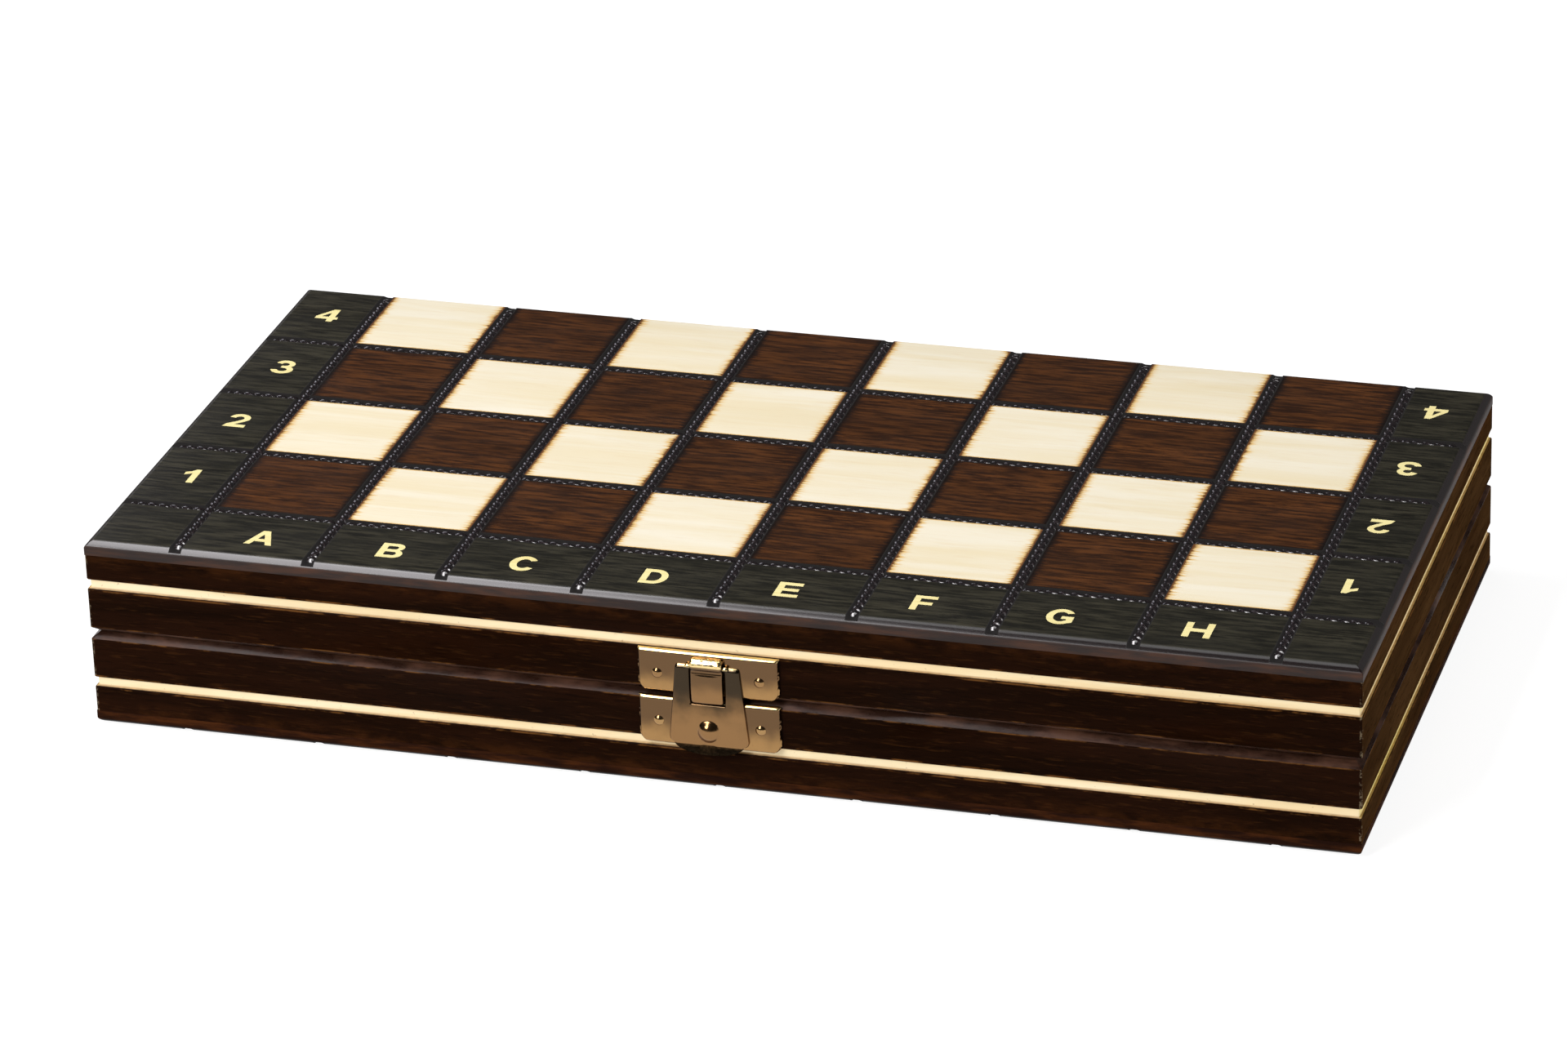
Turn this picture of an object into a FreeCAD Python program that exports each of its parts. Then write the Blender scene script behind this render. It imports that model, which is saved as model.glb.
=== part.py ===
import FreeCAD, Part
import math
import os
import Sketcher
from FreeCAD import Placement, Rotation, Vector

# A folding chess case. Two equal leaves, each a shallow tray whose outside is half of the
# playing board, are hinged along their rear rails and held shut by a stamped hasp latch in front.
# Frame: millimetres, +Z up, origin at the bottom centre of the closed case, the latch at -Y.
# Both leaves are drawn as the lower one, playing face down; the upper leaf is turned over about
# the case's left-to-right middle plane.

DRIVING_SIZES = {
    # board and case
    "pitch": 37.0,
    "left_border": 25.5,
    "right_border": 22.5,
    "front_border": 26.5,
    "leaf_height": 27.0,
    "panel_thick": 4.0,
    "edge_round": 2.2,
    "rail_thick": 9.0,
    "arris": 0.4,
    "rim_bevel_deep": 2.2,
    "rim_bevel_high": 1.7,
    # grooves of the playing face, and the stripe cut round each wall
    "file_groove_flat": 1.3,
    "rank_groove_flat": 1.0,
    "groove_deep": 1.0,
    "shoulder_run": 1.5,
    "shoulder_via_run": 0.62,
    "shoulder_via_deep": 0.13,
    "stripe_middle": 12.6,
    "stripe_high": 2.6,
    "stripe_deep": 0.8,
    "stripe_lip": 0.45,
    # lining and storage combs
    "felt_thick": 0.8,
    "felt_gap": 0.25,
    "comb_thick": 6.0,
    "comb_high": 12.0,
    "comb_end_gap": 0.5,
    "men_spacing": 40.0,
    "men_foot_line": 70.0,
    "officer_comb_line": 40.0,
    "pawn_comb_line": 54.0,
    # latch, as stamped from 0.5 mm sheet; heights are above the meeting plane of the leaves
    "sheet_thick": 0.5,
    "pan_deep": 1.3,
    "pan_round": 0.7,
    "pan_corner": 2.2,
    "upper_pan_wide": 37.7,
    "upper_pan_top": 12.9,
    "upper_pan_bottom": 1.0,
    "lower_pan_wide": 38.0,
    "lower_pan_top": -0.7,
    "lower_pan_bottom": -14.1,
    "hasp_pivot_high": 9.4,
    "hasp_pivot_out": 2.05,
    "hasp_thick": 0.6,
    "hasp_top_rise": 0.6,
    "hasp_top_wide": 17.0,
    "hasp_foot_wide": 20.9,
    "hasp_foot": -12.6,
    "hasp_corner": 1.6,
    "lip_wide": 15.9,
    "lip_end": -15.7,
    "lip_out": 3.8,
    "lip_root": 0.2,
    "lip_bow": 0.35,
    "lip_trim_rise": 0.9,
    "lip_trim_over": 0.3,
    "window_wide": 9.4,
    "window_top": 8.8,
    "window_bottom": -1.3,
    "roll_inner": 1.4,
    "roll_outer": 1.9,
    "tongue_wide": 8.6,
    "tongue_foot": -0.9,
    "tongue_root": 1.05,
    "tongue_end_in": 1.6,
    "tongue_end_out": 2.1,
    "tongue_bow_out": 0.56,
    "tongue_bow_in": 0.58,
    "dome_wide": 6.5,
    "dome_high": 1.3,
    "dome_line": -9.1,
    "catch_wide": 3.0,
    "catch_high": 0.3,
    # nails of latch and hinges
    "nail_line": 13.8,
    "upper_nail_high": 6.1,
    "lower_nail_high": -7.7,
    "nail_head": 2.8,
    "nail_head_high": 0.6,
    "nail_shank": 1.2,
    "nail_length": 7.5,
    "nail_play": 0.05,
    # hinges
    "hinge_line": 112.0,
    "hinge_long": 26.0,
    "hinge_gap": 0.15,
    "knuckle_radius": 1.9,
    "knuckle_play": 0.35,
    "knuckle_half": 4.2,
    "knuckle_space": 0.15,
    "hinge_bore": 0.95,
    "hinge_pin": 0.9,
    "pin_head": 1.3,
    "pin_head_long": 0.5,
    "hinge_sheet": 0.8,
    "hinge_wing": 8.2,
    "hinge_clear": 0.05,
    "mortise_play": 0.2,
    "screw_line": 8.5,
    "screw_inset": 5.0,
    "screw_head": 2.4,
    "screw_neck": 1.1,
    "screw_head_high": 0.6,
    "screw_length": 6.0,
    # men: height, foot diameter, and radius of the comb notch that each lies in
    "king_high": 62.0,
    "king_foot": 21.4,
    "king_notch": 4.9,
    "queen_high": 56.0,
    "queen_foot": 21.0,
    "queen_notch": 4.8,
    "bishop_high": 48.0,
    "bishop_foot": 19.5,
    "bishop_notch": 6.1,
    "knight_high": 43.0,
    "knight_foot": 20.0,
    "knight_notch": 9.2,
    "knight_head_thick": 8.4,
    "rook_high": 38.0,
    "rook_foot": 20.0,
    "rook_notch": 7.6,
    "rook_crenel_wide": 3.0,
    "rook_crenel_deep": 2.6,
    "pawn_high": 34.0,
    "pawn_foot": 17.5,
    "pawn_notch": 4.3,
    "cross_thick": 2.2,
    "cross_span": 5.6,
    "mitre_cut": 1.2,
}

CASE_WIDE = "(8 * Sizes.pitch + Sizes.left_border + Sizes.right_border)"
LEAF_DEEP = "(4 * Sizes.pitch + Sizes.front_border)"
LATCH_PROUD = "(Sizes.hasp_pivot_out + Sizes.roll_outer)"
HINGE_PROUD = "(Sizes.hinge_gap + Sizes.knuckle_radius)"
FRONT = f"(({LATCH_PROUD} - {HINGE_PROUD} - {LEAF_DEEP}) / 2)"
REAR = f"({FRONT} + {LEAF_DEEP})"
MIDDLE = f"(({FRONT} + {REAR}) / 2)"
HALF_WIDE = f"({CASE_WIDE} / 2)"
FELT_TOP = "(Sizes.panel_thick + Sizes.felt_thick)"

UP = Rotation()
TURNED_OVER = Rotation(Vector(0, 1, 0), 180)

doc = FreeCAD.newDocument("FoldingChessCase")
sheet = doc.addObject("Spreadsheet::Sheet", "Sizes")
for row, (alias, size) in enumerate(DRIVING_SIZES.items(), start=1):
    sheet.set(f"A{row}", alias)
    sheet.set(f"B{row}", str(size))
    sheet.setAlias(f"B{row}", alias)
doc.recompute()

nodes = []


def number(expression):
    """The present value of an expression, in millimetres."""
    return float(sheet.evalExpression(str(expression)))


def bind(thing, **properties):
    """Bind properties of an object to expressions."""
    for name, expression in properties.items():
        thing.setExpression(name, expression)
    return thing


def move(thing, x="0", y="0", z="0", rotation=UP):
    """Turn an object and bind its place to expressions."""
    thing.Placement = Placement(Vector(number(x), number(y), number(z)), rotation)
    for axis, expression in zip("xyz", (x, y, z)):
        thing.setExpression(f"Placement.Base.{axis}", expression)
    return thing


def put(thing, label, leaf="lower", x="0", y="0", z="0", rotation=UP):
    """Name a finished sub-part and place it in its leaf."""
    thing.Label = label
    if leaf == "upper":
        x = f"-({x})"
        z = f"2 * Sizes.leaf_height - ({z})"
        rotation = TURNED_OVER * rotation
    move(thing, x, y, z, rotation)
    nodes.append(thing)
    return thing


# Sketches and features ---------------------------------------------------------------------


def new_body(name):
    return doc.addObject("PartDesign::Body", name)


def sketch_on(body, plane, name, lift="0"):
    """A sketch on one of the body's own origin planes, lifted along that plane's normal."""
    sketch = body.newObject("Sketcher::SketchObject", name)
    origin_plane = next(item for item in body.Origin.OriginFeatures if item.Role == plane)
    sketch.AttachmentSupport = [(origin_plane, "")]
    sketch.MapMode = "FlatFace"
    sketch.setExpression("AttachmentOffset.Base.z", lift)
    return sketch


def hold(sketch, geometry, end, x, y, name):
    """Bind one point of a sketch to its x and y expressions."""
    for kind, axis, expression in (("DistanceX", -2, x), ("DistanceY", -1, y)):
        if expression == "0":
            sketch.addConstraint(Sketcher.Constraint("PointOnObject", geometry, end, axis))
            continue
        spot = sketch.addConstraint(
            Sketcher.Constraint(kind, geometry, end, number(expression)))
        label = f"{name}_{kind[-1].lower()}"
        sketch.renameConstraint(spot, label)
        sketch.setExpression(f"Constraints.{label}", expression)


def ball_via(start, top):
    """A point on the arc from start to top whose centre is on the upright axis."""
    centre = (top.y ** 2 - start.y ** 2 - start.x ** 2) / (2 * (top.y - start.y))
    radius = top.y - centre
    angle = (math.atan2(start.y - centre, start.x) + math.pi / 2) / 2
    return Vector(radius * math.cos(angle), centre + radius * math.sin(angle), 0)


def outline(sketch, points, name="corner"):
    """Draw a closed outline.

    Two values are a corner, four are a via point and an arc's end, and three are the word
    ball and the end of an arc centred on the upright axis.
    """
    def vector(pair):
        return Vector(number(pair[0]), number(pair[1]), 0)

    drawn = []
    for index, point in enumerate(points):
        step = points[(index + 1) % len(points)]
        start, end = vector(point[-2:]), vector(step[-2:])
        if len(step) == 2:
            shape = Part.LineSegment(start, end)
        elif len(step) == 3:
            shape = Part.Arc(start, ball_via(start, end), end)
        else:
            shape = Part.Arc(start, vector(step[:2]), end)
        geometry = sketch.addGeometry(shape, False)
        first = 1 if sketch.getPoint(geometry, 1).distanceToPoint(start) < 1e-6 else 2
        drawn.append((geometry, first, 3 - first))
    for index, (geometry, first, last) in enumerate(drawn):
        before = drawn[index - 1]
        sketch.addConstraint(
            Sketcher.Constraint("Coincident", before[0], before[2], geometry, first))
        hold(sketch, geometry, first, *points[index][-2:], f"{name}{index}")
        step = points[(index + 1) % len(points)]
        if len(step) == 3:
            sketch.addConstraint(Sketcher.Constraint("PointOnObject", geometry, 3, -2))
        if len(step) == 4:
            via = sketch.addGeometry(Part.Point(vector(step[:2])), True)
            sketch.addConstraint(Sketcher.Constraint("PointOnObject", via, 1, geometry))
            hold(sketch, via, 1, *step[:2], f"{name}{index}_via")
    return sketch


def rectangle(sketch, x_low, y_low, x_high, y_high, name="corner"):
    corners = [(x_low, y_low), (x_high, y_low), (x_high, y_high), (x_low, y_high)]
    return outline(sketch, corners, name)


def circle(sketch, x, y, radius, name="round"):
    centre = Vector(number(x), number(y), 0)
    geometry = sketch.addGeometry(Part.Circle(centre, Vector(0, 0, 1), number(radius)), False)
    hold(sketch, geometry, 3, x, y, name)
    spot = sketch.addConstraint(Sketcher.Constraint("Radius", geometry, number(radius)))
    sketch.renameConstraint(spot, f"{name}_radius")
    sketch.setExpression(f"Constraints.{name}_radius", radius)
    return sketch


def pad(body, sketch, length, name="Pad", side="One side"):
    feature = body.newObject("PartDesign::Pad", name)
    feature.Profile = sketch
    feature.SideType = side
    feature.setExpression("Length", length)
    doc.recompute()
    return feature


def pocket(body, sketch, name="Pocket", length=None, side="One side", reverse=False):
    """Cut a sketch out of the body, and make sure that something was cut."""
    doc.recompute()
    before = body.Shape.Volume
    feature = body.newObject("PartDesign::Pocket", name)
    feature.Profile = sketch
    feature.SideType = side
    feature.Reversed = reverse
    if length is None:
        feature.Type = "ThroughAll"
    else:
        feature.setExpression("Length", length)
    doc.recompute()
    if not body.Shape.Volume < before - 1e-6:
        raise ValueError(f"{body.Name} {name} cuts nothing")
    return feature


def round_edges(body, feature, radius, choose, name="Fillet"):
    """Fillet the edges of a feature that a test picks out."""
    picked = [f"Edge{i}" for i, edge in enumerate(feature.Shape.Edges, start=1) if choose(edge)]
    fillet = body.newObject("PartDesign::Fillet", name)
    fillet.Base = (feature, picked)
    fillet.setExpression("Radius", radius)
    doc.recompute()
    return fillet


def repeat(body, feature, axis, length, count, name):
    """Repeat a feature along one of the body's origin axes."""
    pattern = body.newObject("PartDesign::LinearPattern", name)
    pattern.Originals = [feature]
    origin_axis = next(item for item in body.Origin.OriginFeatures if item.Role == axis)
    pattern.Direction = (origin_axis, [""])
    pattern.setExpression("Length", length)
    pattern.Occurrences = count
    body.Tip = pattern
    doc.recompute()
    return pattern


def primitive(kind, name, **sizes):
    return bind(doc.addObject(f"Part::{kind}", name), **sizes)


def cut(base, tool, name):
    result = doc.addObject("Part::Cut", name)
    result.Base = base
    result.Tool = tool
    return result


def fuse(pieces, name):
    result = doc.addObject("Part::MultiFuse", name)
    result.Shapes = pieces
    return result


def group(pieces, name):
    result = doc.addObject("Part::Compound", name)
    result.Links = pieces
    return result


ALONG_X = Rotation(Vector(0, 1, 0), 90)
ALONG_Y = Rotation(Vector(1, 0, 0), -90)
OUTWARD = Rotation(Vector(1, 0, 0), 90)


# Leaves ------------------------------------------------------------------------------------


def playing_panel(leaf):
    """Half of the board: a panel with a rounded rim, and grooves between its squares."""
    body = new_body(f"{leaf}_panel")
    sheet_sketch = rectangle(
        sketch_on(body, "XY_Plane", "PanelOutline"),
        f"-{HALF_WIDE}", FRONT, HALF_WIDE, REAR)
    block = pad(body, sheet_sketch, "Sizes.panel_thick", "Panel")
    round_edges(body, block, "Sizes.edge_round",
                lambda edge: edge.BoundBox.ZMax < 1e-6, "RimRound")
    # the turned-over leaf brings its right-hand border to the left
    border = "Sizes.left_border" if leaf == "lower" else "Sizes.right_border"
    first_file = f"(-{HALF_WIDE} + {border})"
    file_cut = pocket(body, groove_section(
        sketch_on(body, "XZ_Plane", "FileSection"), first_file, "Sizes.file_groove_flat"),
        "FileGroove", side="Symmetric")
    repeat(body, file_cut, "X_Axis", "8 * Sizes.pitch", 9, "FileGrooves")
    first_rank = f"{FRONT} + Sizes.front_border"
    rank_cut = pocket(body, groove_section(
        sketch_on(body, "YZ_Plane", "RankSection"), first_rank, "Sizes.rank_groove_flat"),
        "RankGroove", side="Symmetric")
    repeat(body, rank_cut, "Y_Axis", "3 * Sizes.pitch", 4, "RankGrooves")
    return put(body, f"{leaf}_playing_panel", leaf)


def groove_section(sketch, middle, flat):
    """A groove with a flat floor and rounded shoulders, open below the playing face."""
    wide = f"({flat} + Sizes.shoulder_run)"
    near = f"({wide} - Sizes.shoulder_via_run)"
    floor = "Sizes.groove_deep"
    dip = "Sizes.shoulder_via_deep"
    outside = "-Sizes.groove_deep"
    return outline(sketch, [
        (f"{middle} - {wide}", outside),
        (f"{middle} + {wide}", outside),
        (f"{middle} + {wide}", "0"),
        (f"{middle} + {near}", dip, f"{middle} + {flat}", floor),
        (f"{middle} - {flat}", floor),
        (f"{middle} - {near}", dip, f"{middle} - {wide}", "0"),
    ])


def rail(name, length):
    """A mitred rail lying along X, its outer face on Y = 0 and its playing side down."""
    body = new_body(name)
    low = "(Sizes.stripe_middle - Sizes.stripe_high / 2)"
    high = "(Sizes.stripe_middle + Sizes.stripe_high / 2)"
    lip = "Sizes.stripe_lip"
    section = outline(sketch_on(body, "YZ_Plane", "RailSection"), [
        ("0", "Sizes.panel_thick"),
        ("0", f"{low} - {lip}"),
        (f"0.293 * {lip}", f"{low} - 0.293 * {lip}", lip, low),
        ("Sizes.stripe_deep", low),
        ("Sizes.stripe_deep", high),
        (lip, high),
        (f"0.293 * {lip}", f"{high} + 0.293 * {lip}", "0", f"{high} + {lip}"),
        ("0", "Sizes.leaf_height - Sizes.rim_bevel_high"),
        ("Sizes.rim_bevel_deep", "Sizes.leaf_height"),
        ("Sizes.rail_thick", "Sizes.leaf_height"),
        ("Sizes.rail_thick", "Sizes.panel_thick"),
    ])
    pad(body, section, length, "Rail", side="Symmetric")
    for sign, end in (("-", "Left"), ("", "Right")):
        mitre = outline(sketch_on(body, "XY_Plane", f"{end}Mitre"), [
            (f"{sign}({length} / 2 - Sizes.arris - 1)", "-1"),
            (f"{sign}({length} / 2 - Sizes.arris / 2)", "Sizes.arris / 2"),
            (f"{sign}({length} / 2 - Sizes.rail_thick - 1)", "Sizes.rail_thick + 1"),
            (f"{sign}({length} / 2 + 2)", "Sizes.rail_thick + 1"),
            (f"{sign}({length} / 2 + 2)", "-1"),
        ])
        pocket(body, mitre, f"{end}MitreCut", reverse=True)
    return body


def hinge_recess(name):
    """What the two hinges need cut out of a rear rail, in the leaf's own frame."""
    pieces = []
    for sign, side in (("-", "left"), ("", "right")):
        middle = f"{sign}Sizes.hinge_line"
        mortise = primitive(
            "Box", f"{name}_{side}_mortise",
            Length="Sizes.hinge_long + 2 * Sizes.mortise_play",
            Width="Sizes.hinge_wing + Sizes.mortise_play + 2 * Sizes.hinge_gap",
            Height="Sizes.hinge_sheet + Sizes.hinge_clear + 1")
        move(mortise, f"{middle} - Sizes.hinge_long / 2 - Sizes.mortise_play",
             f"{REAR} - Sizes.hinge_wing - Sizes.mortise_play",
             "Sizes.leaf_height - Sizes.hinge_sheet - Sizes.hinge_clear")
        run = "(Sizes.hinge_long + 2 * Sizes.pin_head_long + 2 * Sizes.mortise_play)"
        notch = primitive("Cylinder", f"{name}_{side}_notch",
                          Radius="Sizes.knuckle_radius + Sizes.knuckle_play", Height=run)
        move(notch, f"{middle} - {run} / 2", f"{REAR} + Sizes.hinge_gap",
             "Sizes.leaf_height", ALONG_X)
        pieces += [mortise, notch]
    return fuse(pieces, name)


def rails(leaf):
    """The four mitred rails of a leaf."""
    half_turn = Rotation(Vector(0, 0, 1), 180)
    left_turn = Rotation(Vector(0, 0, 1), -90)
    right_turn = Rotation(Vector(0, 0, 1), 90)
    put(rail(f"{leaf}_front", CASE_WIDE), f"{leaf}_front_rail", leaf, y=FRONT)
    put(rail(f"{leaf}_left", LEAF_DEEP), f"{leaf}_left_rail", leaf,
        x=f"-{HALF_WIDE}", y=MIDDLE, rotation=left_turn)
    put(rail(f"{leaf}_right", LEAF_DEEP), f"{leaf}_right_rail", leaf,
        x=HALF_WIDE, y=MIDDLE, rotation=right_turn)
    blank = move(rail(f"{leaf}_rear", CASE_WIDE), y=REAR, rotation=half_turn)
    blank.Label = f"{leaf}_rear_rail_blank"
    put(cut(blank, hinge_recess(f"{leaf}_recess"), f"{leaf}_rear_cut"),
        f"{leaf}_rear_rail", leaf)


def felt_lining(leaf):
    gap = "(Sizes.rail_thick + Sizes.felt_gap)"
    felt = primitive("Box", f"{leaf}_felt", Length=f"{CASE_WIDE} - 2 * {gap}",
                     Width=f"{LEAF_DEEP} - 2 * {gap}", Height="Sizes.felt_thick")
    # a box is placed by its corner, which the turned-over leaf brings to the other side
    put(felt, f"{leaf}_felt_lining", leaf, x=f"-({HALF_WIDE} - {gap})",
        y=f"{FRONT} + {gap}", z="Sizes.panel_thick")


# Men: outlines as parts of the foot's radius and of the height ------------------------------

FOOT = [(1.00, 0.00), (1.00, 0.30), (0.945, 0.58, 0.82, 0.78), (0.76, 0.78), (0.76, 0.92),
        (0.70, 1.00)]

FOOT_HIGH = {"king": 0.15, "queen": 0.16, "bishop": 0.17, "knight": 0.22, "rook": 0.20,
             "pawn": 0.21}

TURNINGS = {
    "king": [
        (0.44, 0.36, 0.34, 0.655), (0.60, 0.67), (0.62, 0.685), (0.60, 0.70), (0.42, 0.715),
        (0.40, 0.73), (0.42, 0.80, 0.58, 0.865), (0.58, 0.88), (0.42, 0.912, 0.12, 0.925)],
    "queen": [
        (0.42, 0.36, 0.32, 0.655), (0.57, 0.672), (0.60, 0.69), (0.57, 0.707), (0.40, 0.72),
        (0.38, 0.735), (0.41, 0.83, 0.62, 0.905), (0.52, 0.92), (0.36, 0.942, 0.13, 0.95)],
    "bishop": [
        (0.42, 0.36, 0.30, 0.595), (0.54, 0.612), (0.58, 0.63), (0.54, 0.648), (0.36, 0.66),
        (0.34, 0.68), (0.57, 0.80, 0.15, 0.945)],
    "rook": [
        (0.60, 0.42, 0.50, 0.665), (0.68, 0.68), (0.72, 0.70), (0.68, 0.72), (0.57, 0.74),
        (0.60, 0.80, 0.72, 0.85), (0.72, 1.00), (0.50, 1.00), (0.50, 0.92)],
    "knight": [(0.60, 0.27, 0.56, 0.33)],
    "pawn": [
        (0.42, 0.38, 0.31, 0.60), (0.54, 0.62), (0.58, 0.64), (0.54, 0.66), (0.36, 0.68),
        (0.33, 0.70)],
}

# the last point on the axis of each turning, as a part of the height
TOPS = {"king": 0.925, "queen": 1.0, "bishop": 1.0, "rook": 0.92, "knight": 0.33, "pawn": 1.0}

# turnings that end in a ball
ROUND_TOPS = ("queen", "bishop", "pawn")

# side view of the horse's head, nose towards +X, as parts of the foot's radius and the height
HORSE = [
    (-0.56, 0.30), (-0.74, 0.52, -0.46, 0.80), (-0.34, 0.90), (-0.20, 1.00), (-0.10, 0.93),
    (0.20, 0.89, 0.50, 0.76), (0.78, 0.66), (0.84, 0.60), (0.74, 0.545), (0.46, 0.585),
    (0.24, 0.58, 0.14, 0.54), (0.44, 0.44, 0.54, 0.30)]


def scaled(kind, point):
    """A point of an outline, from parts of the man's sizes to expressions."""
    radius, height = f"Sizes.{kind}_foot / 2", f"Sizes.{kind}_high"
    terms = []
    for index, part in enumerate(point):
        terms.append(f"{part} * {radius if index % 2 == 0 else height}")
    return tuple(term if part else "0" for term, part in zip(terms, point))


def turned(body, kind):
    """The lathe-turned part of a man, standing on the origin."""
    foot = []
    for point in FOOT:
        foot.append(tuple(v if i % 2 == 0 else v * FOOT_HIGH[kind] for i, v in enumerate(point)))
    points = [("0", "0")] + [scaled(kind, point) for point in foot + TURNINGS[kind]]
    top = scaled(kind, (0.0, TOPS[kind]))
    points.append(("ball",) + top if kind in ROUND_TOPS else top)
    sketch = outline(sketch_on(body, "XZ_Plane", "Turning"), points)
    lathe = body.newObject("PartDesign::Revolution", "Lathe")
    lathe.Profile = sketch
    lathe.ReferenceAxis = (sketch, ["V_Axis"])
    lathe.Angle = 360
    doc.recompute()


def finish_king(body):
    """The cross that stands on the king's crown."""
    for name, half, low, high in (
            ("Post", "Sizes.cross_thick / 2", 0.90, 1.0), ("Arms", "Sizes.cross_span / 2", 0.945, 0.98)):
        sketch = rectangle(sketch_on(body, "XZ_Plane", name), f"-{half}",
                           f"{low} * Sizes.king_high", half, f"{high} * Sizes.king_high")
        pad(body, sketch, "Sizes.cross_thick", f"Cross{name}", side="Symmetric")


def finish_bishop(body):
    """The slanting cut in the bishop's mitre."""
    low, high = "0.76 * Sizes.bishop_high", "0.86 * Sizes.bishop_high"
    sketch = outline(sketch_on(body, "XZ_Plane", "MitreSlot"), [
        ("0.08 * Sizes.bishop_foot", low),
        ("0.5 * Sizes.bishop_foot", high),
        ("0.5 * Sizes.bishop_foot", f"{high} + Sizes.mitre_cut"),
        ("0.08 * Sizes.bishop_foot", f"{low} + Sizes.mitre_cut"),
    ])
    pocket(body, sketch, "MitreCut", side="Symmetric")


def finish_knight(body):
    """The carved head on its turned foot."""
    sketch = outline(sketch_on(body, "XZ_Plane", "Head"), [scaled("knight", p) for p in HORSE])
    pad(body, sketch, "Sizes.knight_head_thick", "Horse", side="Symmetric")


def finish_rook(body):
    """Two crossed cuts leave four merlons round the tower."""
    half = "Sizes.rook_crenel_wide / 2"
    reach = "Sizes.rook_foot / 2"
    low = "Sizes.rook_high - Sizes.rook_crenel_deep"
    for plane in ("XZ_Plane", "YZ_Plane"):
        sketch = rectangle(sketch_on(body, plane, f"Crenel{plane[:2]}"), f"-{half}", low,
                           half, f"{low} + {reach}")
        pocket(body, sketch, f"Crenels{plane[:2]}", side="Symmetric")


FINISHES = {"king": finish_king, "bishop": finish_bishop, "knight": finish_knight,
            "rook": finish_rook}

OFFICERS = ["rook", "knight", "bishop", "queen", "king", "bishop", "knight", "rook"]


def man(label, kind, leaf, column, foot_y, rotation):
    """One man, lying on its side in the tray with its axis along Y."""
    body = new_body(label)
    turned(body, kind)
    if kind in FINISHES:
        FINISHES[kind](body)
    put(body, label, leaf, x=f"({column} - 3.5) * Sizes.men_spacing", y=foot_y,
        z=f"{FELT_TOP} + Sizes.{kind}_foot / 2", rotation=rotation)


def men(leaf, colour):
    """Sixteen men: officers with their feet to the rear, pawns with theirs to the front."""
    counts = {}
    for column, kind in enumerate(OFFICERS):
        counts[kind] = counts.get(kind, 0) + 1
        single = OFFICERS.count(kind) == 1
        label = f"{colour}_{kind}" if single else f"{colour}_{kind}_{counts[kind]}"
        man(label, kind, leaf, column, f"{MIDDLE} + Sizes.men_foot_line", OUTWARD)
    for column in range(8):
        man(f"{colour}_pawn_{column + 1}", "pawn", leaf, column,
            f"{MIDDLE} - Sizes.men_foot_line", ALONG_Y)


def comb(name, kinds, middle_y):
    """A notched bar across the tray, one notch for each man that lies in it."""
    long = f"({CASE_WIDE} - 2 * Sizes.rail_thick - 2 * Sizes.comb_end_gap)"
    bar = primitive("Box", f"{name}_bar", Length=long, Width="Sizes.comb_thick",
                    Height="Sizes.comb_high")
    near = f"{middle_y} - Sizes.comb_thick / 2"
    move(bar, f"-{long} / 2", near, FELT_TOP)
    notches = []
    for column, kind in enumerate(kinds):
        x = f"({column} - 3.5) * Sizes.men_spacing"
        axis = f"{FELT_TOP} + Sizes.{kind}_foot / 2"
        round_floor = primitive("Cylinder", f"{name}_floor_{column + 1}",
                                Radius=f"Sizes.{kind}_notch", Height="Sizes.comb_thick + 2")
        move(round_floor, x, f"{near} - 1", axis, ALONG_Y)
        mouth = primitive("Box", f"{name}_mouth_{column + 1}",
                          Length=f"2 * Sizes.{kind}_notch", Width="Sizes.comb_thick + 2",
                          Height="Sizes.comb_high")
        move(mouth, f"{x} - Sizes.{kind}_notch", f"{near} - 1", axis)
        notches += [round_floor, mouth]
    return cut(bar, fuse(notches, f"{name}_notches"), name)


def combs(leaf):
    bars = [
        comb(f"{leaf}_officer_comb", OFFICERS, f"{MIDDLE} + Sizes.officer_comb_line"),
        comb(f"{leaf}_pawn_comb", ["pawn"] * 8, f"{MIDDLE} - Sizes.pawn_comb_line"),
    ]
    put(group(bars, f"{leaf}_combs"), f"{leaf}_storage_combs", leaf)


# Latch: drawn on the front wall, heights from the meeting plane, outward along -Y -----------


def pan(name, wide, top, bottom, corner):
    """A shallow stamped plate with its rim turned back to the wood."""
    body = new_body(name)
    half = f"({wide} / 2)"
    turn = f"0.293 * {corner}"
    plate = outline(sketch_on(body, "XZ_Plane", "PanOutline"), [
        (f"-{half}", f"{bottom} + {corner}"),
        (f"-{half} + {turn}", f"{bottom} + {turn}", f"-{half} + {corner}", bottom),
        (f"{half} - {corner}", bottom),
        (f"{half} - {turn}", f"{bottom} + {turn}", half, f"{bottom} + {corner}"),
        (half, top),
        (f"-{half}", top),
    ])
    face = pad(body, plate, "Sizes.pan_deep", "Pan")
    front = -number("Sizes.pan_deep")
    round_edges(body, face, "Sizes.pan_round",
                lambda edge: edge.BoundBox.YMax < front + 1e-6, "PanRound")
    thick = "Sizes.sheet_thick"
    hollow = rectangle(sketch_on(body, "XZ_Plane", "Hollow"), f"-{half} + {thick}",
                       f"{bottom} + {corner} * 0.5", f"{half} - {thick}", f"{top} - {thick}")
    pocket(body, hollow, "HollowCut", "Sizes.pan_deep - Sizes.sheet_thick", reverse=True)
    return body


def nail_holes(body, high):
    """Two holes through a latch plate."""
    sketch = sketch_on(body, "XZ_Plane", "NailHoles")
    for sign, side in (("-", "left"), ("", "right")):
        circle(sketch, f"{sign}Sizes.nail_line", high,
               "Sizes.nail_shank / 2 + Sizes.nail_play", side)
    pocket(body, sketch, "NailHoleCut", side="Symmetric")


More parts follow.
